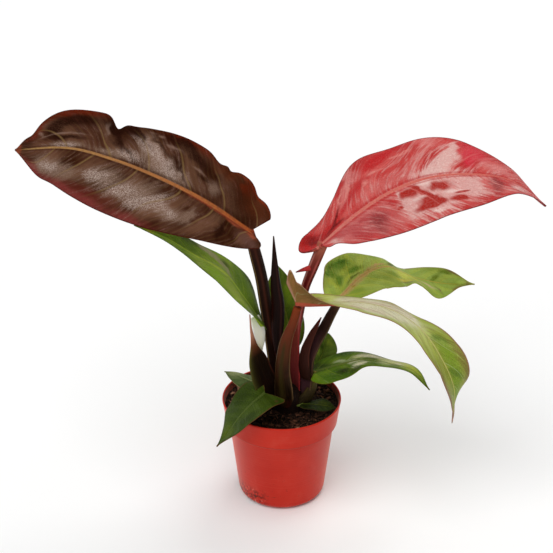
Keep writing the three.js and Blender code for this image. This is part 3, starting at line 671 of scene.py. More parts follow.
arching_leaf = dict(
    midrib=[[14, -23, 226], [45, -36, 234], [76, -39, 236], [106, -43, 229], [132, -46, 210],
                [151, -50, 182], [165, -50, 148], [168, -37, 101]],
    half_width=29, widest=0.49, taper=2.3, point=1.1, faces=[0, -0.3, 0.95], twist=[-45, -25, -20, -5, -5],
    left=half(fold=[50, 12, -10, -10, -10, 10, 30, 0, 10], lobe=4, neck=0.2,
        waves=[[0.55, 0.1, -2.5, 0], [0.89, 0.07, 6, 0]]),
    right=half(fold=[80, 20, 5, 5, 5, 20, 20, 10, 10], lobe=9, neck=0.5,
        waves=[[0.018, 0.019, 15, 0], [0.28, 0.1, 1.5, 0], [0.62, 0.12, 4, 0], [0.85, 0.06, -2, 0]]),
    rows=150, columns=18, rib=[2.2, 0.5], veins=9, sweep=1.8, quilt=0.15, camber=0,
    marks=[
        # The pale cream mark is painted sheen.
        mark("f4f0d4", [24, 35, 10, 60], [38, 10, 12, 50], [33, -40, 12, 50], [45, 50, 6, 40]),
        mark("d0ac90", [25, -60, 10, 12], [35, 30, 12, 10], [40, 75, 10, 12], [22, 10, 10, 8], strength=0.6,
            broken=1),
        mark("94983a", [72, 0, 13, 120], [85, 0, 10, 120], strength=0.85, broken=0.5),
        mark("7c9c26", [68, 40, 10, 35], [82, 10, 8, 40], broken=0.5),
        mark("62802a", [60, 45, 2, 35, 10], [74, 30, 2, 35, 10], broken=0.5),
        mark("7c6a38", [75, 95, 16, 30], [77, -95, 18, 30], strength=0.75, broken=0.7),
        mark("7a4030", [3, 20, 7, 50], [2, -20, 5, 60]),
        mark("b04838", [97.5, 0, 7, 100], strength=1, broken=0.4),
        mark("8a5a48", [80, -95, 15, 14]),
    ])
arching_blade = blade("arching_blade", arching_leaf, leaf_paint(
    "arching_leaf", arching_leaf["marks"], upper="c3cf5c", deep="a2b43e", vein="e0e6ac", rib="cfc4a0",
    rib_tip="d2ca62", margin="a06e54", under="8e6438", under_far="b4bf70", under_tip="a4503e",
    under_deep="5e5a22", under_margin="c08c74", keel="b0503a", vein_strength=0.3, margin_width=2.4,
    rib_shadow=0.15))
stand_in(arching_blade, "arching_leaf_blade")

# Its stalk is an olive-brown channel with pale margins, reddish at the top. Towards the crown it darkens to
# near black, which is painted shade, and the pale lines down its margins are partly painted highlight.

STALK_SIDES, FLUTES = 48, 14


def stalk_tube(name, material, path, faces, wide, deep, top, rows=90, flutes=0.02, lines=()):
    """A stalk, closed at both ends. Its section is an oval that is wide across the way it faces, deep
    behind and raised by top in front; these and its fine flutes follow it from the blade to the crown. Each
    of its lines is [angle, spread, begin, end]: degrees round the section, and shares of the way down."""
    around = 2 * np.pi * (np.arange(STALK_SIDES) + 0.5) / STALK_SIDES
    share, angle = np.meshgrid(np.linspace(0, 1, rows), around, indexing="ij")
    length, at = route(path)
    place, forward = at(share * length)
    up, left = bearings(forward, faces)
    wide, deep, top = (spline(values, share) for values in (wide, deep, top))
    swell = 1 - flutes * (1 + np.cos(FLUTES * angle)) / 2
    height = np.sin(angle) * np.where(np.sin(angle) > 0, top, deep)
    tube = place + (left * (wide * np.cos(angle))[..., None] + up * height[..., None]) * swell[..., None]
    points = np.concatenate([tube.reshape(-1, 3), tube[[0, -1]].mean(1)])
    ring = np.arange(STALK_SIDES)
    count = rows * STALK_SIDES
    last = count - STALK_SIDES + ring
    start = np.stack([0 * ring + count, ring, np.roll(ring, -1)], -1)
    finish = np.stack([0 * ring + count + 1, np.roll(last, -1), last], -1)
    body = np.flip(grid_faces(rows, STALK_SIDES, closed=True), 1)
    uv = np.stack([share, angle / (2 * np.pi)], -1).reshape(-1, 2)
    values = {"inner": np.clip(np.sin(angle) * 3, 0, 1)}
    for k, (centre, spread, begin, end) in enumerate(lines):
        off = np.abs((np.degrees(angle) - centre + 180) % 360 - 180) / spread
        values[f"line_{k}"] = np.exp(-off ** 2) * np.clip(np.minimum(share - begin, end - share) * 12, 0, 1)
    return new_piece(
        name, points * MM, [body, start, finish], material, uv=np.concatenate([uv, [[0, 0.5], [1, 0.5]]]),
        **{key: np.append(value, [0, 0]) for key, value in values.items()})


def stalk_paint(name, outer, streak, blotch, inner=None, lines=(), roughness=0.36, through=0.0):
    """Smooth fleshy stalk skin: outer colours along the path, inner ones inside the channel, fine streaks
    along it, blotches, and a colour for each of the lines that run down it; on several stalks those lines
    are painted highlights. Some light may come through."""
    paint = Paint(name, Specular_IOR_Level=0.05, Subsurface_Weight=through,
                  Subsurface_Scale=0.006, Subsurface_Radius=(1.0, 1.0, 0.8))
    share, around = paint.along()
    place = paint.place()
    fine = paint.noise(paint.vector(paint.times(share, 5), paint.times(around, 60)), 1.0, 4, 0.6)
    base = paint.coats(
        paint.ramp(share, outer),
        (paint.value("inner"), paint.ramp(share, inner or outer)),
        (paint.step(fine, 0.48, 0.75, 0, 0.45), streak),
        (paint.step(paint.noise(place, 45, 3), 0.5, 0.8, 0, 0.35), blotch),
        *((paint.times(paint.value(f"line_{k}"), 0.85), code) for k, code in enumerate(lines)))
    rough = paint.step(fine, 0.3, 0.7, roughness - 0.06, roughness + 0.1)
    height = paint.math("ADD", fine, paint.times(paint.noise(place, 900, 2), 0.3))
    return paint.finish(base, rough, height, 0.0004)


arching_stalk = stalk_tube("arching_stalk", stalk_paint(
    "arching_stalk",
    # darker down to near black at the crown: painted shade
    outer=[(0, "7c3418"), (0.2, "642c18"), (0.45, "4c2814"), (0.62, "2a1608"), (0.8, "140a03"),
        (1, "060302")], inner=[(0, "6a2c1c"), (1, "140a06")], streak="543a1c", blotch="5c241c",
    # the two pale line colours are the margins, partly painted highlight
    lines=["a08858", "8c6c48", "342a10"]),
    path=[[15, -23, 223], [11, -23, 207], [5, -21, 188], [2, -19, 169], [1, -17, 150], [2, -15, 131],
        [3, -12, 106]], faces=[0.3, 0.9, 0.2], wide=[4, 4.5, 6, 7, 8, 9.5, 10], deep=[4, 4, 5, 6, 7, 7, 6],
    top=[3, 2, 1, 0, -1, -1, 0], lines=[[350, 8, 0.05, 1], [190, 8, 0.05, 1], [270, 16, 0.3, 1]])
stand_in(arching_stalk, "arching_leaf_stalk")


# The red leaf, the newest open one, on the right: glossy scarlet with dark red blotches under a pale
# pink sheen that is painted reflection, a salmon midrib sunk in a channel and a thin dark edge. Its left
# lobe is cupped, with painted shade deep in it.

red_leaf = dict(
    midrib=[[36, -19, 286], [66, -6, 309], [99, 2, 330], [135, 5, 344], [175, 5, 348], [215, 10, 339],
                [250, 15, 311]],
    half_width=52, widest=0.4, taper=2, point=1.1, faces=[-0.1, -0.6, 0.8], twist=[-60, -10, -10, -55],
    left=half(fold=[10, -3, 5], lobe=18, rounded=1, neck=0.22,
        waves=[[0.04, 0.07, -5, 10], [0.16, 0.08, -14, 4], [0.33, 0.07, 5, 0], [0.44, 0.08, -4.5, 0]]),
    right=half(fold=[-22, -1, 8, 11, 14], lobe=-2, neck=0.1,
        waves=[[0.04, 0.03, -10, 0], [0.65, 0.12, 2, 0]]),
    rows=180, columns=26, rib=[2.6, 0.7], veins=7, sweep=1.3, quilt=0.45, camber=1.2,
    marks=[
        mark("b0484a", [20, -50, 12, 50], [10, -30, 6, 30], strength=0.8),
        mark("802c2c", [23, -60, 4, 35], [74, -40, 3, 50], strength=0.8),
        # These four pale pink marks are painted sheen and reflection.
        mark("da7c76", [9, -60, 3, 30], [20, -15, 10, 10], [30, -75, 8, 20], [35, 22, 14, 16],
            strength=0.55, broken=0.8),
        mark("e48e88", [29, 95, 3, 20], [55, 90, 5, 15], [78, 35, 8, 25], [28, 72, 5, 10], strength=0.75,
            broken=0.8),
        mark("e6b4ac", [37, -50, 4, 35], [46, -40, 7, 50], [55, -40, 7, 60], [65, -35, 5, 40, 5],
            [5, -75, 2, 30], [83, -60, 4, 25], strength=0.95, broken=0.9),
        mark("eabdb4", [52, 12, 7, 10], [57, 30, 5.5, 18, 10], [60, 55, 3, 20, 10], [62.5, 78, 1.4, 14, 5],
            strength=1, soft=0.4, broken=0.55),
        mark("d8283c", [70, 75, 6, 28], [66, 40, 3, 20], strength=0.9, soft=0.45),
        mark("c22428", [30, 50, 5, 7, 30], [20, 45, 4, 10, 30], [42, 92, 8, 6], [25, 90, 2, 6], soft=0.45),
        mark("bc1010", [4, 60, 6, 60], [12, 30, 6, 20, 20], soft=0.45),
        # This dark red is painted shade deep in the cupped lobe and in a crease.
        mark("740000", [4.5, 60, 2.5, 40], [11, 20, 5, 8, 20], [15, 42, 1.2, 35, 25], strength=1, soft=0.4,
            grainy=0.1),
        # Thin pale streaks: painted sheen.
        mark("e78c82", [17.5, 70, 0.7, 30, 16], [21.5, 72, 0.8, 8, 10], [26, 72, 0.8, 8, 10],
            [24, 82, 3, 3], [23.5, 62, 3, 3], [36, 55, 4, 3, 50], [45, 75, 5, 3, 40], [31, 45, 1.5, 5],
            soft=0.4, broken=0.3),
        mark("c4151a", [37, 72, 4, 12, 20], [40, 85, 4, 8, 20], strength=0.95, soft=0.42, broken=0.5,
            grainy=0.2),
        # Pale pinkish white: painted highlight.
        mark("f2cfc6", [36, -14, 1.5, 10], [46, -8, 8, 3], [43, -42, 4, 5, 10], [49, -20, 1.2, 14, 20],
            [50, -82, 6, 4], [57.5, -45, 4, 6, 20], strength=0.9, soft=0.35, broken=0.3),
        mark("ac1c0e", [39.5, -21, 4.5, 15, 5], [53, -24, 5, 16, 10], [46, -30, 1.4, 24, 15],
            [46.5, -52, 5, 10, 10], [46.5, -66, 8.5, 8], [60, -66, 3.2, 9, 20], [61, -50, 3.6, 3],
            [34, -45, 1.8, 5], strength=1, soft=0.26, broken=0.12, grainy=0.1),
        mark("a80a04", [3, 80, 3.5, 25], strength=0.85),
    ])
red_blade = blade("red_blade", red_leaf, leaf_paint(
    "red_leaf", red_leaf["marks"], upper="d24440", deep="bb2a28", vein="e07c74", rib="dc8072",
    rib_tip="d05f50", margin="6c1a18", under="a82e28", keel="c65a4c", roughness=0.34, margin_width=0.8,
    rib_shadow=0.6, relief=0.35, gloss=0.14))
stand_in(red_blade, "red_leaf_blade")

# Its stalk is crimson, with a greenish groove at the top and one small red pointed flap. The bright red
# line low down one side is a painted highlight.

red_stalk = stalk_tube("red_stalk", stalk_paint(
    "red_stalk",
    outer=[(0, "b4504a"), (0.15, "841e20"), (0.35, "641016"), (0.6, "6c241c"), (0.8, "802c2a"),
        (1, "200a0a")],
    inner=[(0, "a8604a"), (0.1, "6c2c20"), (0.25, "641418"), (0.55, "743020"), (0.8, "742a28"),
        # the last line colour, bright red low on one side, is a painted highlight
        (1, "220a0c")], streak="983a3a", blotch="4c0c12", lines=["b85a54", "c0786c", "a83434"],
    roughness=0.3),
    path=[[38, -18, 288], [30, -15, 264], [22, -10, 237], [17, -5, 208], [13, -3, 181], [12, -3, 155],
        [12, -5, 131], [12, -7, 108]], faces=[-0.5, -0.8, 0.3], wide=[5.5, 5.2, 4.5, 4.5, 5, 6, 7, 7],
    deep=[4, 4.5, 4.5, 4.5, 4.5, 4.5, 5, 5], top=[2, 3, 3, 3, 2, 1, 0, 0],
    lines=[[45, 12, 0.05, 0.6], [120, 12, 0.02, 0.4], [20, 14, 0.5, 1]])
stand_in(red_stalk, "red_leaf_stalk")

red_flap = stalk_tube("red_flap", stalk_paint(
    "red_flap", outer=[(0, "c8403a"), (0.5, "a8282a"), (0.85, "64141a"), (1, "380c10")], streak="dc7068",
    blotch="8c1c20"),
    path=[[28, -14, 261], [21, -18, 261], [13, -18, 258]], faces=[0, -1, 0.5], wide=[3, 2, 0.5],
    deep=[2, 1.2, 0.5], top=[2, 1.2, 0.5], rows=30)
stand_in(red_flap, "red_leaf_stalk")


# The bronze leaf, the largest one, on the left: dark bronze-brown skin with a purplish-grey sheen that is
# painted reflection, painted shade in its folds and creases, a copper midrib, olive side veins, and a
# reddish margin along its lower side.

bronze_leaf = dict(
    midrib=[[-31, -5, 294], [-69, -15, 328], [-109, -17, 352], [-151, -13, 369], [-196, -2, 377],
                [-249, 22, 366]],
    half_width=54, widest=0.45, taper=2.2, point=1, faces=[0.25, -0.75, 0.6], twist=[25, 14, 7, -20],
    left=half(fold=[25, 5, 5], lobe=13, neck=0.14, waves=[[0.9, 0.07, 5, 0], [0.5, 0.3, 5, 0]]),
    right=half(fold=[15, -8, 12], lobe=17, neck=0.45,
        waves=[[0.92, 0.025, -3, 0], [0.82, 0.07, 2, 3], [0.65, 0.025, -7, -8], [0.6, 0.05, -9, 4],
            [0.53, 0.05, -2, 0], [0.4, 0.08, 2, 0], [0.26, 0.035, -6, 0], [0.205, 0.02, -2, -4],
            [0.14, 0.03, -2, 4], [0.07, 0.025, 0, -4]]),
    rows=190, columns=26, rib=[2.8, 0.7], veins=6.2, sweep=1.1, quilt=0.5, camber=1.2,
    marks=[
        mark("341a0e", [10, -60, 12, 50], [17, 60, 2, 30, 10], [62, -70, 5, 35], [94, -50, 4, 50]),
        mark("6c4a40", [6, 75, 5, 35]),
        mark("8c3a38", [48, 100, 8, 16], [64, 96, 7, 18], [78, 95, 9, 18], [92, 90, 5, 35], strength=0.85),
        mark("5a2016", [60, 80, 8, 10], [72, 78, 6, 10, 20], strength=0.85),
        mark("70220e", [12, -80, 3, 15], [38, -97, 12, 12], [77, -97, 10, 16], [90, -80, 3, 30],
            strength=0.9),
        # These two pale marks are painted sheen and highlights.
        mark("947866", [28, 50, 2, 20, 10], [35, 62, 5, 16], [46, 45, 7, 28, 10], [60, 38, 6, 20, 10],
            [77, 60, 7, 22, 5], [86, 50, 6, 30], [36, -14, 7, 14], [45, -30, 8, 22, 10],
            [51, -60, 4, 25, 10], [60, -15, 6, 14], [78, -10, 8, 8], [22, -35, 3, 15, 10], strength=0.85,
            broken=0.4, grainy=0.45),
        mark("c2aca0", [40, 42, 3, 16, 20], [46, 60, 4, 14, 20], [53, 50, 4, 16, 20], [36, 60, 3, 10],
            [40, -20, 5, 13], [46, -42, 4.5, 20, 20], [52, -60, 3, 18, 20], [56, -20, 5, 12],
            [84, 55, 4, 14], [63, 42, 4, 14, 10], [78, -8, 5, 5], strength=0.95, broken=0.5, grainy=0.95),
        # These two darkest marks are painted shade in folds and creases.
        mark("28110a", [33, -72, 7, 15, 30], [43, -90, 6, 8, 30], [77, -72, 7, 14], [63, -86, 7, 15],
            [83, -50, 4, 20], [56, -80, 2, 25, 20], [78, -28, 7, 5], [62, -55, 1.5, 35, 10],
            [16.5, 60, 1.2, 30, 10], strength=1, soft=0.45, broken=0.4),
        mark("2a140b", [34, -25, 0.8, 20, 25], [46.5, -65, 1.2, 25, 33], [57, -30, 0.8, 20, 25],
            [27, -45, 5, 3, 30], strength=0.75, soft=0.45, broken=0.1),
        # Light lines along the edges of folds: painted highlight.
        mark("a08070", [30, -52, 3.5, 3], [42, -70, 3, 5, 45], [50, -86, 3, 4, 50],
            [32.5, -22, 0.7, 14, 25], [66.7, -72, 0.7, 18], [80, -38, 8, 2.5], [88.5, -55, 1, 16, 10],
            strength=0.6, soft=0.45),
        mark("b5573a", [1.5, 30, 3, 30], [7, 10, 6, 12], [20, 6, 12, 4], [98.5, 0, 2, 100], strength=0.85),
        mark("5e2c16", [6, -70, 9, 40], [22, -85, 5, 15], strength=0.8),
        mark("8a3216", [8, -100, 12, 10], strength=0.85),
    ])
bronze_blade = blade("bronze_blade", bronze_leaf, leaf_paint(
    "bronze_leaf", bronze_leaf["marks"], upper="643f2f", deep="361809", vein="8e7046", crest_highlight="805a44",
    rib="bb6030", rib_tip="b8945c", margin="5a2014", under="5e3026", keel="a05a3c", roughness=0.42,
    margin_width=0.9, relief=0.5, grain_scale=1100, vein_strength=0.6, gloss=0, shade=0.45))
stand_in(bronze_blade, "bronze_leaf_blade")

# Its stalk is a dark purple-brown, with a lighter line along its groove, a light line down one edge that is
# a painted highlight, and reddish sheath margins.

bronze_stalk = stalk_tube("bronze_stalk", stalk_paint(
    "bronze_stalk",
    outer=[(0, "a04426"), (0.04, "4c2216"), (0.15, "2e180e"), (0.6, "28120b"), (1, "0e0504")],
    inner=[(0, "a04426"), (0.05, "3c1a10"), (0.2, "28140c"), (0.6, "22100a"), (1, "100605")],
    # the first line colour, down one edge, is a painted highlight
    streak="38200f", blotch="140806", lines=["8c7048", "50281c", "4a1c16"]),
    path=[[-31, -4, 294], [-26, 2, 270], [-20, 5, 241], [-16, 6, 212], [-12, 6, 188], [-8, 5, 165],
        [-4, 2, 141], [-1, -1, 108]], faces=[0.4, -0.9, 0.2], wide=[5, 6, 6.2, 6.4, 7, 8.5, 10, 10],
    deep=[4, 5, 5, 5, 5, 5, 6, 6], top=[1, 3, 3, 3, 1, 0, 0, 0],
    lines=[[158, 8, 0.04, 0.9], [95, 12, 0.03, 0.7], [20, 10, 0.4, 1]])
stand_in(bronze_stalk, "bronze_leaf_stalk")


# The new leaf: still rolled up tightly into a smooth spike, nearly black purple, with one edge of the
# roll showing as a line that winds down it.

new_spike = stalk_tube("new_spike", stalk_paint(
    "rolled_leaf", outer=[(0, "34180f"), (0.1, "1e0e0a"), (0.5, "160806"), (1, "0e0504")], streak="2c1412",
    blotch="0c0403", lines=["3c201c", "2c0a08"], roughness=0.28),
    path=[[-8, -4, 289], [-7, -3, 261], [-6, -2, 236], [-4, -1, 217], [-4, -1, 197], [-4, -1, 175],
        [-1, -2, 151], [4, -3, 126]], faces=[0, -1, 0], wide=[0.6, 2.5, 4.6, 6.2, 6.5, 5, 4.5, 4],
    deep=[0.6, 2.2, 3.5, 4.5, 5, 4.5, 4, 4], top=[0.6, 2, 3, 4, 4, 4, 4, 4], flutes=0,
    lines=[[60, 9, 0.1, 1], [150, 14, 0.3, 1]])
stand_in(new_spike, "new_leaf_spike")


# The wavy leaf, low on the right: mid green with a lighter stripe along each half and cream on the wing
# where its blade begins, both painted sheen; its hanging end is painted lighter, as painted light.

wavy_leaf = dict(
    midrib=[[33, -6, 141], [56, -8, 150], [80, -10, 157], [104, -17, 157], [128, -25, 153],
                [144, -34, 137]],
    half_width=24, widest=0.36, taper=1.9, point=1.3, faces=[0, -0.4, 0.9], twist=[-25, -6, -20, -8],
    left=half(fold=[0, -25, 5], lobe=6, neck=0.4, waves=[[0.42, 0.14, -5, 0]]),
    right=half(fold=[-5, 20, 25], lobe=4, neck=0.4, waves=[[0.12, 0.1, 4, 0], [0.48, 0.13, -8, 0]]),
    rows=110, columns=16, rib=[1.8, 0.5], veins=8, sweep=1.6, quilt=0.3, camber=0.6,
    marks=[
        mark("33560a", [20, -60, 15, 40], [25, 85, 8, 30]),
        mark("2a3006", [2, 50, 6, 60], [9, 10, 10, 30], [26, -50, 6, 20], [36, -75, 5, 20]),
        # Pale yellow: painted sheen.
        mark("f0f0ac", [60, 20, 8, 70], [72, 50, 10, 50], [36, 35, 5, 20, 10]),
        # The yellow-green of the hanging end, painted lighter as painted light.
        mark("d0da50", [80, 10, 10, 80]),
        # These two pale cream marks are painted sheen.
        mark("dce2b8", [20, 25, 5, 10], [26, 10, 5, 10], strength=0.6, soft=0.4, broken=0.5),
        mark("fff8d8", [33, -2, 6, 12], [39, -38, 6, 20], [43, 45, 8, 14, 10], [49, 70, 8, 20],
            [69, 30, 3, 14], strength=1, soft=0.4, broken=0.5),
        mark("5a4a1c", [25, -3, 12, 4], soft=0.35),
        mark("6a7c0e", [48, 20, 5, 20], [66, -30, 6, 30]),
        mark("5c4c2c", [98, 0, 4, 100]),
    ])
wavy_blade = blade("wavy_blade", wavy_leaf, leaf_paint(
    "wavy_leaf", wavy_leaf["marks"], upper="6c8c16", deep="486c0b", vein="9cb42b", rib="546424",
    rib_tip="a8b058", margin="6c6c18", under="90a028", margin_width=0.8))
stand_in(wavy_blade, "wavy_leaf_blade")

# Its stalk is dark olive; the light line down one side, the first line colour, is a painted highlight.
wavy_stalk = stalk_tube("wavy_stalk", stalk_paint(
    "wavy_stalk", outer=[(0, "84803c"), (0.2, "5c5226"), (0.5, "302612"), (1, "120c06")], streak="5c4c28",
    blotch="2c2010", lines=["a88c54", "443618"]),
    path=[[34, -6, 142], [32, -8, 135], [29, -9, 123], [20, -9, 107]], faces=[-0.3, 0.9, 0.5],
    wide=[3, 4.5, 7, 9], deep=[3, 4, 6, 7], top=[1, 1, 1, 1], rows=50,
    lines=[[195, 9, 0, 1], [345, 8, 0, 0.7]])
stand_in(wavy_stalk, "wavy_leaf_stalk")


# The twisted leaf, on the right: light green with a tan midrib; the darker patches in the hollows of its
# upper lobe are painted shade, with painted highlight on the pale arcs round them. Its upper half dips
# past the crest, and its tip is turned over and drawn out to a thread.

twisted_leaf = dict(
    midrib=[[58, 0, 223], [79, 30, 229], [106, 49, 230], [134, 59, 213], [164, 63, 204], [198, 72, 199]],
    half_width=32, widest=0.34, taper=2, point=1.2, faces=[0.1, -0.6, 0.8], twist=[-10, -6, -20, 50],
    left=half(fold=[35, 20, -32, 0, 40], lobe=18, neck=0.25,
        waves=[[0.13, 0.09, 5, 0], [0.43, 0.13, -15, 0], [0.68, 0.07, 4, 0], [0.85, 0.1, 4, 0]]),
    right=half(fold=[25, 20, 30], lobe=4, neck=0.2,
        waves=[[0.12, 0.15, 4, 0], [0.4, 0.08, 5, 0], [0.56, 0.05, -5, 3], [0.74, 0.07, 9, -4],
            [0.9, 0.06, -3, 0]]),
    rows=150, columns=20, rib=[2.2, 0.5], veins=9, sweep=1.7, quilt=0.3, camber=0.8,
    marks=[
        mark("eef65a", [50, -30, 7, 35], [42, 5, 3, 10], [57, 0, 5, 20]),
        # Pale arcs in the upper lobe: painted highlight.
        mark("c3d94d", [16, 45, 7, 10], [6, 60, 2, 30], [26, 75, 1.5, 25, 5], [12, 22, 8, 5], soft=0.4,
            broken=0.5),
        # These two dark greens in the hollows of the upper lobe are painted shade.
        mark("548a0e", [19, 72, 7, 25], [9, 40, 3, 12], [22, 30, 6, 10], [10, 80, 2.5, 25], soft=0.45,
            broken=0.4),
        mark("3c6c08", [21, 72, 2.5, 10], [15, 88, 3, 8], soft=0.45, broken=0.4),
        mark("56640c", [16, 13, 8, 3.5], [48, 35, 4, 30, 10], soft=0.4),
        mark("e2b87c", [4, -8, 5, 16], [13, -8, 7, 12], [22, -2, 7, 9], [31, 10, 5, 8, 30],
            [38, 24, 4, 9, 30], soft=0.45, broken=0.5),
        mark("c8803c", [10, -10, 2, 8], [20, -1, 3, 5], [27, 3, 2, 5], strength=0.7, soft=0.4, broken=0.6),
        mark("e4d84e", [48, -70, 9, 9], [60, -35, 3, 20, 10]),
        mark("e8cfae", [69, -42, 4, 12, 30], [62, -75, 2, 15, 20], soft=0.4),
        mark("8c7450", [60, -62, 1.2, 14, 30], [76, -50, 0.8, 30, 10], [50, -82, 10, 4], soft=0.4),
        mark("6d8a12", [74, 20, 1.8, 40, 12], [83, 75, 5, 15], soft=0.4),
        mark("8c6244", [96, 10, 2.5, 80], [88, 92, 5, 12], [60, 97, 15, 8], [90, -80, 5, 30], soft=0.45),
    ])
twisted_blade = blade("twisted_blade", twisted_leaf, leaf_paint(
    "twisted_leaf", twisted_leaf["marks"], upper="bcd866", deep="92b440", vein="dce646", rib="d8ae74",
    rib_tip="c8c038", margin="b0a030", under="b4c436", margin_width=0.8, rib_shadow=0.3))
stand_in(twisted_blade, "twisted_leaf_blade")

# Its stalk is dark purple-brown and opens into a wide winged sheath halfway down. The olive and
# purple-brown lines down it are painted highlight and sheen.

twisted_stalk = stalk_tube("twisted_stalk", stalk_paint(
    "twisted_stalk",
    outer=[(0, "74503a"), (0.1, "44281a"), (0.3, "301c12"), (0.55, "523430"), (0.8, "442822"),
        (1, "1c100c")],
    inner=[(0, "6c4a34"), (0.12, "3c261c"), (0.3, "2c1a12"), (0.55, "4c302e"), (0.8, "40262a"),
        # the three line colours are painted highlight and sheen
        (1, "1c0f0e")], streak="503630", blotch="1c100c", lines=["6e5a34", "5a3a34", "44282c"]),
    path=[[57, 0, 221], [48, -2, 204], [40, -5, 188], [32, -7, 174], [25, -8, 156], [23, -9, 137],
        [20, -9, 108]], faces=[-0.5, -0.7, 0.5], wide=[4, 5, 6, 7, 8, 8.5, 8],
    deep=[4, 4.4, 5, 6, 6.5, 7, 7], top=[2, 2, 1, 0, 0, 0, 0],
    lines=[[15, 9, 0.05, 1], [165, 9, 0.2, 1], [90, 20, 0.3, 1]])
stand_in(twisted_stalk, "twisted_leaf_stalk")

twisted_wing = stalk_tube("twisted_wing", stalk_paint(
    "twisted_wing", outer=[(0, "22120c"), (0.4, "381c16"), (0.8, "442018"), (1, "541e14")], streak="48201a",
    blotch="160806", lines=["6c3428", "54281c"]),
    path=[[24, -11, 136], [22, -12, 152], [23, -12, 168], [28, -12, 184], [33, -12, 195], [38, -12, 206]],
    faces=[-0.6, -0.7, 0.4], wide=[7, 7, 6, 4.5, 3, 0.6], deep=[4, 4, 3, 2, 1.5, 0.6],
    top=[2, 2, 1, 1, 0.8, 0.6], lines=[[20, 9, 0.2, 1], [160, 9, 0.2, 1]])
stand_in(twisted_wing, "twisted_leaf_stalk")


# The sheath scale on the left of the crown: the olive-brown wrap that an older leaf grew out of, open
# at the front and dried to a thin reddish tip.

scale = stalk_tube("scale", stalk_paint(
    "scale",
    outer=[(0, "b07460"), (0.22, "a4644c"), (0.36, "7c4424"), (0.5, "2e1b0c"), (0.8, "1a0c06"),
        (1, "120804")],
    inner=[(0, "d09c8c"), (0.22, "c08468"), (0.34, "703e24"), (0.46, "1e1107"), (1, "120704")],
    streak="38240f", blotch="280f08", lines=["66622c", "54281c"]),
    path=[[-31, -14, 210], [-30, -13, 195], [-28.5, -13, 184], [-26, -13, 167], [-22, -12, 151],
        [-17, -11, 134], [-8, -9, 110]], faces=[0.6, -0.7, 0.3], wide=[0.6, 1.3, 4, 11, 13.5, 14, 12],
    deep=[0.6, 1.3, 2, 3, 4, 5, 6], top=[0.6, 0.6, 0.6, 0, -1.5, -1.5, 0],
    lines=[[170, 34, 0.3, 0.85], [15, 8, 0.2, 0.8]])
stand_in(scale, "sheath_scale")


# The lance-shaped leaf, on the left: mid green with a band of white sheen beside its midrib, which is
# painted highlight, and a thread-like tip. It stands on a cream stalk.

lance_leaf = dict(
    midrib=[[-19, -5, 194], [-37, -2, 222], [-57, 4, 248], [-85, 9, 263], [-113, 14, 279], [-142, 18, 290]],
    half_width=22, widest=0.42, taper=2, point=1.3, faces=[0.3, -0.6, 0.7], twist=[50, 20, 25, 10],
    left=half(fold=[15, 20, 35], lobe=4, neck=0.3, waves=[[0.48, 0.12, 5, 0]]),
    right=half(fold=[0, -5, 35], lobe=4, neck=0.3, waves=[[0.18, 0.16, 10, 0], [0.42, 0.1, -2, 0]]),
    rows=110, columns=16, rib=[1.6, 0.4], veins=9, sweep=1.9, quilt=0.25, camber=0.4,
    marks=[
        mark("b0c450", [29, 50, 14, 45], [53, 70, 6, 30]),
        # Pale along the midrib: painted highlight.
        mark("a4b468", [36, -12, 9, 16, 10], [48, 2, 10, 14]),
        mark("9ccb1b", [46, 65, 10, 40]),
        mark("5a7a0d", [25, -40, 15, 50], [70, -35, 16, 35]),
        mark("a8b488", [15, 80, 3, 30], broken=0.5),
        mark("30400a", [5, -10, 12, 120], [22, -95, 15, 20], [42, -50, 3, 20, 10], [72, -85, 16, 30]),
        # The bright middle of the midrib: painted highlight.
        mark("e4f450", [44, 7, 8, 8], [56, 3, 10, 6], soft=0.4),
        # A streak of painted sheen.
        mark("b8a888", [48, -50, 3.5, 50, 28], [54, -75, 4, 20, 28], strength=0.8, broken=0.6),
        mark("c0ac2c", [91, 0, 3, 100]),
        mark("b07c68", [99, 0, 3, 100]),
    ])
lance_blade = blade("lance_blade", lance_leaf, leaf_paint(
    "lance_leaf", lance_leaf["marks"], upper="98b830", deep="6e9418", vein="b4cc40", rib="9cb440",
    rib_tip="c4d844", margin="546816", under="8aa028", margin_width=0.8))
stand_in(lance_blade, "lance_leaf_blade")

lance_stalk = stalk_tube("lance_stalk", stalk_paint(
    "lance_stalk",
    outer=[(0, "eef4d4"), (0.12, "fffbe6"), (0.4, "fff6dc"), (0.65, "e4dcbc"), (0.85, "a08c60"),
        (1, "54442a")], streak="ffffff", blotch="e8e6c8", through=0.5),
    path=[[-26.5, -4, 202], [-22.5, -4, 188], [-21, -4, 176], [-22, -3, 165], [-20, -1, 148], [-13, 0, 124],
        [-6, 0, 104]], faces=[0.5, -0.8, 0.3], wide=[5, 6.5, 4.5, 3, 4, 5, 6],
    deep=[2, 2.5, 2.5, 3, 4, 5, 6], top=[1, 1, 1, 1, 1, 1, 1])
stand_in(lance_stalk, "lance_leaf_stalk")


# The leaf over the rim, at the front left: small and dark green, with a paler midrib and a thin
# reddish-brown edge. It bends over the rim of the pot on a short stalk of its own green.

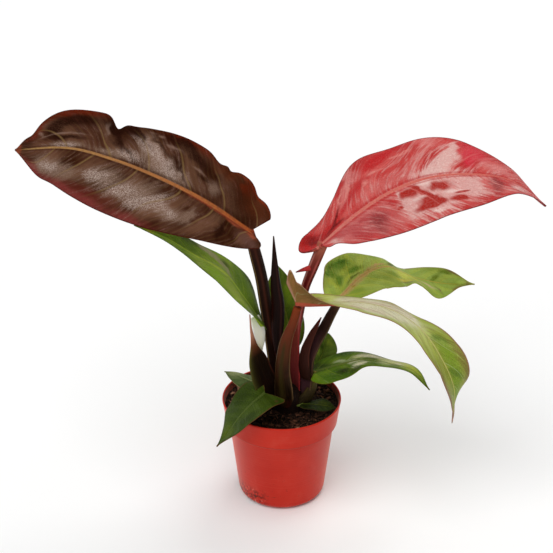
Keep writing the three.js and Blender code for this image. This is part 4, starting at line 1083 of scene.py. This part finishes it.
rim_leaf = dict(
    midrib=[[-17, -22, 126], [-30, -40, 124], [-42, -52, 116], [-52, -60, 104], [-63, -67, 93]],
    half_width=27, widest=0.38, taper=1.8, point=1.2, faces=[-0.2, -0.7, 0.7], twist=[5, 20, 25, 40],
    left=half(fold=[10, 20, 20], lobe=3, neck=0.8),
    right=half(fold=[-5, -15, 0], lobe=11, rounded=1, neck=0.5, waves=[[0.6, 0.12, 3, 0]]),
    rows=110, columns=18, rib=[1.7, 0.5], veins=7, sweep=1.4, quilt=0.3, camber=0.6,
    marks=[
        mark("5c6c16", [80, 0, 12, 80]),
        mark("2c3c05", [50, 60, 15, 25], [30, -60, 15, 30]),
        mark("6c4a2a", [12, 75, 4, 6, 20], soft=0.4),
    ])
rim_blade = blade("rim_blade", rim_leaf, leaf_paint(
    "rim_leaf", rim_leaf["marks"], upper="465912", deep="33450a", vein="56682a", rib="55642a",
    rib_tip="5c6a2e", margin="6c4426", under="66771f", margin_width=0.9))
stand_in(rim_blade, "rim_leaf")

small_stalk_material = stalk_paint(
    "small_stalks", outer=[(0, "6c7c38"), (0.5, "4c4c22"), (1, "2a2012")], streak="7c8448", blotch="3c2c18")
rim_stalk = stalk_tube(
    "rim_stalk", small_stalk_material, path=[[-18, -23, 125], [-12, -18, 120], [0, -11, 108]],
    faces=[0, 0, 1], wide=[3, 4, 5], deep=[3, 3.5, 4], top=[1, 2, 2], rows=40)
stand_in(rim_stalk, "rim_leaf")


# The leaf low on the right, over the soil: the smallest one, dark green with a faint midrib. It stands
# on a short stalk of its own green.

low_leaf = dict(
    midrib=[[20, -17, 110], [32, -18, 110], [44, -19, 109], [54, -18, 106]],
    half_width=12, widest=0.42, taper=1.8, point=1.2, faces=[0, -0.4, 0.9], twist=[-30, -25, -5, 20],
    left=half(fold=[-10, -5, 25], lobe=2, neck=0.4),
    right=half(fold=[0, 10, 15], lobe=2, neck=0.4),
    rows=70, columns=12, rib=[1.2, 0.4], veins=6, sweep=1.3, quilt=0.12, camber=0.3,
    marks=[
        mark("3c440d", [60, 30, 20, 40]),
        mark("151a03", [15, -30, 20, 50]),
    ])
low_blade = blade("low_blade", low_leaf, leaf_paint(
    "low_leaf", low_leaf["marks"], upper="28340a", deep="1c2605", vein="405015", rib="4c5414",
    rib_tip="485015", margin="44341c", under="4c5a18", margin_width=0.6))
stand_in(low_blade, "low_leaf")

low_stalk = stalk_tube(
    "low_stalk", small_stalk_material, path=[[21, -17, 110], [17, -15, 108], [8, -8, 104]], faces=[0, 0, 1],
    wide=[2, 2.5, 3], deep=[2, 2.5, 3], top=[1, 1, 1], rows=30)
stand_in(low_stalk, "low_leaf")


# The small leaf low on the left: a dull grey-green blade with paler veins and a pale sheen painted
# towards its tip, turned down at its margins.
# Its short stalk comes out of the side of the crown.

left_leaf = dict(
    midrib=[[-20, -2, 123], [-32, 2, 126], [-45, 10, 127], [-58, 22, 124]],
    half_width=13, widest=0.38, taper=1.8, point=1.2, faces=[0, -0.5, 0.85], twist=[20, 20, 25, 20],
    left=half(fold=[-10, -5, 15], lobe=2, neck=0.4),
    right=half(fold=[-20, -20, 5], lobe=2, neck=0.4),
    rows=70, columns=12, rib=[1.2, 0.4], veins=6, sweep=1.3, quilt=0.12, camber=0.3,
    marks=[
        # Pale grey-green: painted sheen.
        mark("a8aa74", [75, -20, 20, 80], strength=1),
        mark("3c4c24", [25, 30, 15, 60]),
    ])
left_blade = blade("left_blade", left_leaf, leaf_paint(
    "left_leaf", left_leaf["marks"], upper="5c6c38", deep="44562a", vein="7c8c54", rib="8c9460",
    rib_tip="8c9460", margin="8c8458", under="84946c", margin_width=0.6, roughness=0.5))
stand_in(left_blade, "left_leaf")

left_stalk = stalk_tube(
    "left_stalk", small_stalk_material, path=[[-21, -2, 123], [-15, -2, 119], [-4, -3, 106]],
    faces=[0, 0, 1], wide=[2, 2.5, 3], deep=[2, 2.5, 3], top=[1, 1, 1], rows=30)
stand_in(left_stalk, "left_leaf")


# The upright leaf behind the stalks: green with an olive cast, trough-shaped and held close to them. Its
# stalk, of the same green, comes out of the back of the crown.

back_leaf = dict(
    midrib=[[9, 12, 161], [7, 26, 176], [3, 38, 192], [0, 46, 211], [-4, 50, 231]],
    half_width=23, widest=0.42, taper=2.2, point=0.9, faces=[0, -0.9, 0.4], twist=[0, -5, -15, -25],
    left=half(fold=[40, 35, 5], lobe=4, neck=0.3),
    right=half(fold=[40, 40, 15], lobe=4, neck=0.3),
    rows=90, columns=16, rib=[1.7, 0.5], veins=7, sweep=1.5, quilt=0.25, camber=0.5,
    marks=[
        mark("8caa24", [65, -40, 15, 30], [45, 30, 10, 30], broken=0.6),
        mark("3c540a", [30, -50, 15, 30], [75, 50, 10, 30], broken=0.6),
    ])
back_blade = blade("back_blade", back_leaf, leaf_paint(
    "back_leaf", back_leaf["marks"], upper="728a28", deep="52681c", vein="90a83c", rib="8c8c34",
    rib_tip="849638", margin="6c5a2c", under="768824", margin_width=0.8))
stand_in(back_blade, "back_leaf")

back_stalk = stalk_tube(
    "back_stalk", small_stalk_material, path=[[9, 13, 161], [7, 11, 131], [6, 6, 108]], faces=[0, -1, 0],
    wide=[3, 4, 5], deep=[3, 4, 5], top=[1, 1, 1], rows=40)
stand_in(back_stalk, "back_leaf")


# The short leaf behind on the right: dark green, blunt and folded up along its midrib, half hidden by
# the wavy leaf, on a stalk of its own green.

short_leaf = dict(
    midrib=[[34, 14, 134], [40, 28, 138], [44, 38, 145], [48, 45, 156]],
    half_width=16, widest=0.45, taper=2.4, point=0.8, faces=[0, -0.8, 0.5], twist=[0, 5, 10, 10],
    left=half(fold=[40, 40, 25], lobe=2, neck=0.4),
    right=half(fold=[40, 40, 20], lobe=2, neck=0.4),
    rows=70, columns=12, rib=[1.4, 0.4], veins=6, sweep=1.3, quilt=0.15, camber=0.3,
    marks=[
        mark("8c9c32", [80, -20, 10, 40], [40, 50, 12, 20], broken=0.6),
        mark("344607", [30, -50, 15, 30], [60, 30, 10, 20], broken=0.5),
    ])
short_blade = blade("short_blade", short_leaf, leaf_paint(
    "short_leaf", short_leaf["marks"], upper="627828", deep="485c1e", vein="829834", rib="8c9438",
    rib_tip="848c34", margin="6c5a30", under="6c7c22", margin_width=0.7))
stand_in(short_blade, "short_leaf")

short_stalk = stalk_tube(
    "short_stalk", small_stalk_material, path=[[35, 16, 135], [22, 9, 122], [12, 3, 108]], faces=[0, -1, 1],
    wide=[2.5, 3, 4], deep=[2.5, 3, 4], top=[1, 1, 1], rows=40)
stand_in(short_stalk, "short_leaf")


# The floor: a wide plain sheet of matt near-white paper, which the pot stands on. It is drawn a hair
# lower than the foot of the pot.

def paper_paint():
    """Matt near-white paper with a very faint mottle."""
    paint = Paint("paper", Specular_IOR_Level=0.2)
    mottle = paint.noise(paint.place(), 3, 3)
    return paint.finish(paint.mix(mottle, "f4f4f3", "f9f9f8"), 0.8)


FLOOR_REACH, FLOOR_LINES, FLOOR_HEIGHT = 4, 9, -0.0004
span = np.linspace(-FLOOR_REACH, FLOOR_REACH, FLOOR_LINES)
x, y = np.meshgrid(span, span)
sheet = np.stack([x, y, 0 * x + FLOOR_HEIGHT], -1)
floor = new_piece("floor", sheet, [grid_faces(FLOOR_LINES, FLOOR_LINES)], paper_paint())


# The light: a large soft lamp above the front left, a weaker one behind the right, and a pale room. Both
# lamps are far enough off to light the whole floor alike.

def lamp(name, strength, spread, place):
    """A soft far lamp that shines from a place towards the plant; spread is its width in degrees."""
    data = bpy.data.lights.new(name, "SUN")
    data.energy = strength
    data.angle = np.radians(spread)
    light = bpy.data.objects.new(name, data)
    bpy.context.scene.collection.objects.link(light)
    light.location = place
    light.rotation_euler = Vector(place).to_track_quat("Z", "Y").to_euler()


lamp("key_lamp", 1.7, 50, (-0.6, -0.9, 1.9))
lamp("back_lamp", 0.9, 40, (0.8, 1.0, 1.5))

world = bpy.data.worlds.new("room")
world.use_nodes = True
world.node_tree.nodes["Background"].inputs["Color"].default_value = colour("f7f8fa")
world.node_tree.nodes["Background"].inputs["Strength"].default_value = 0.45
bpy.context.scene.world = world


# The camera looks down at the plant from the front, as in the photograph, through a long lens and from
# 1.25 m away.

SENSOR_WIDTH, LENS = 36, 84.6
CAMERA_PLACE, CAMERA_TILT = (-0.00525, -1.1146, 0.8122), 63
view = bpy.data.cameras.new("camera")
view.sensor_width = SENSOR_WIDTH
view.lens = LENS
camera = bpy.data.objects.new("camera", view)
bpy.context.scene.collection.objects.link(camera)
camera.location = CAMERA_PLACE
camera.rotation_euler = np.radians([CAMERA_TILT, 0, 0]).tolist()
bpy.context.scene.camera = camera
bpy.context.scene.view_settings.view_transform = "Standard"
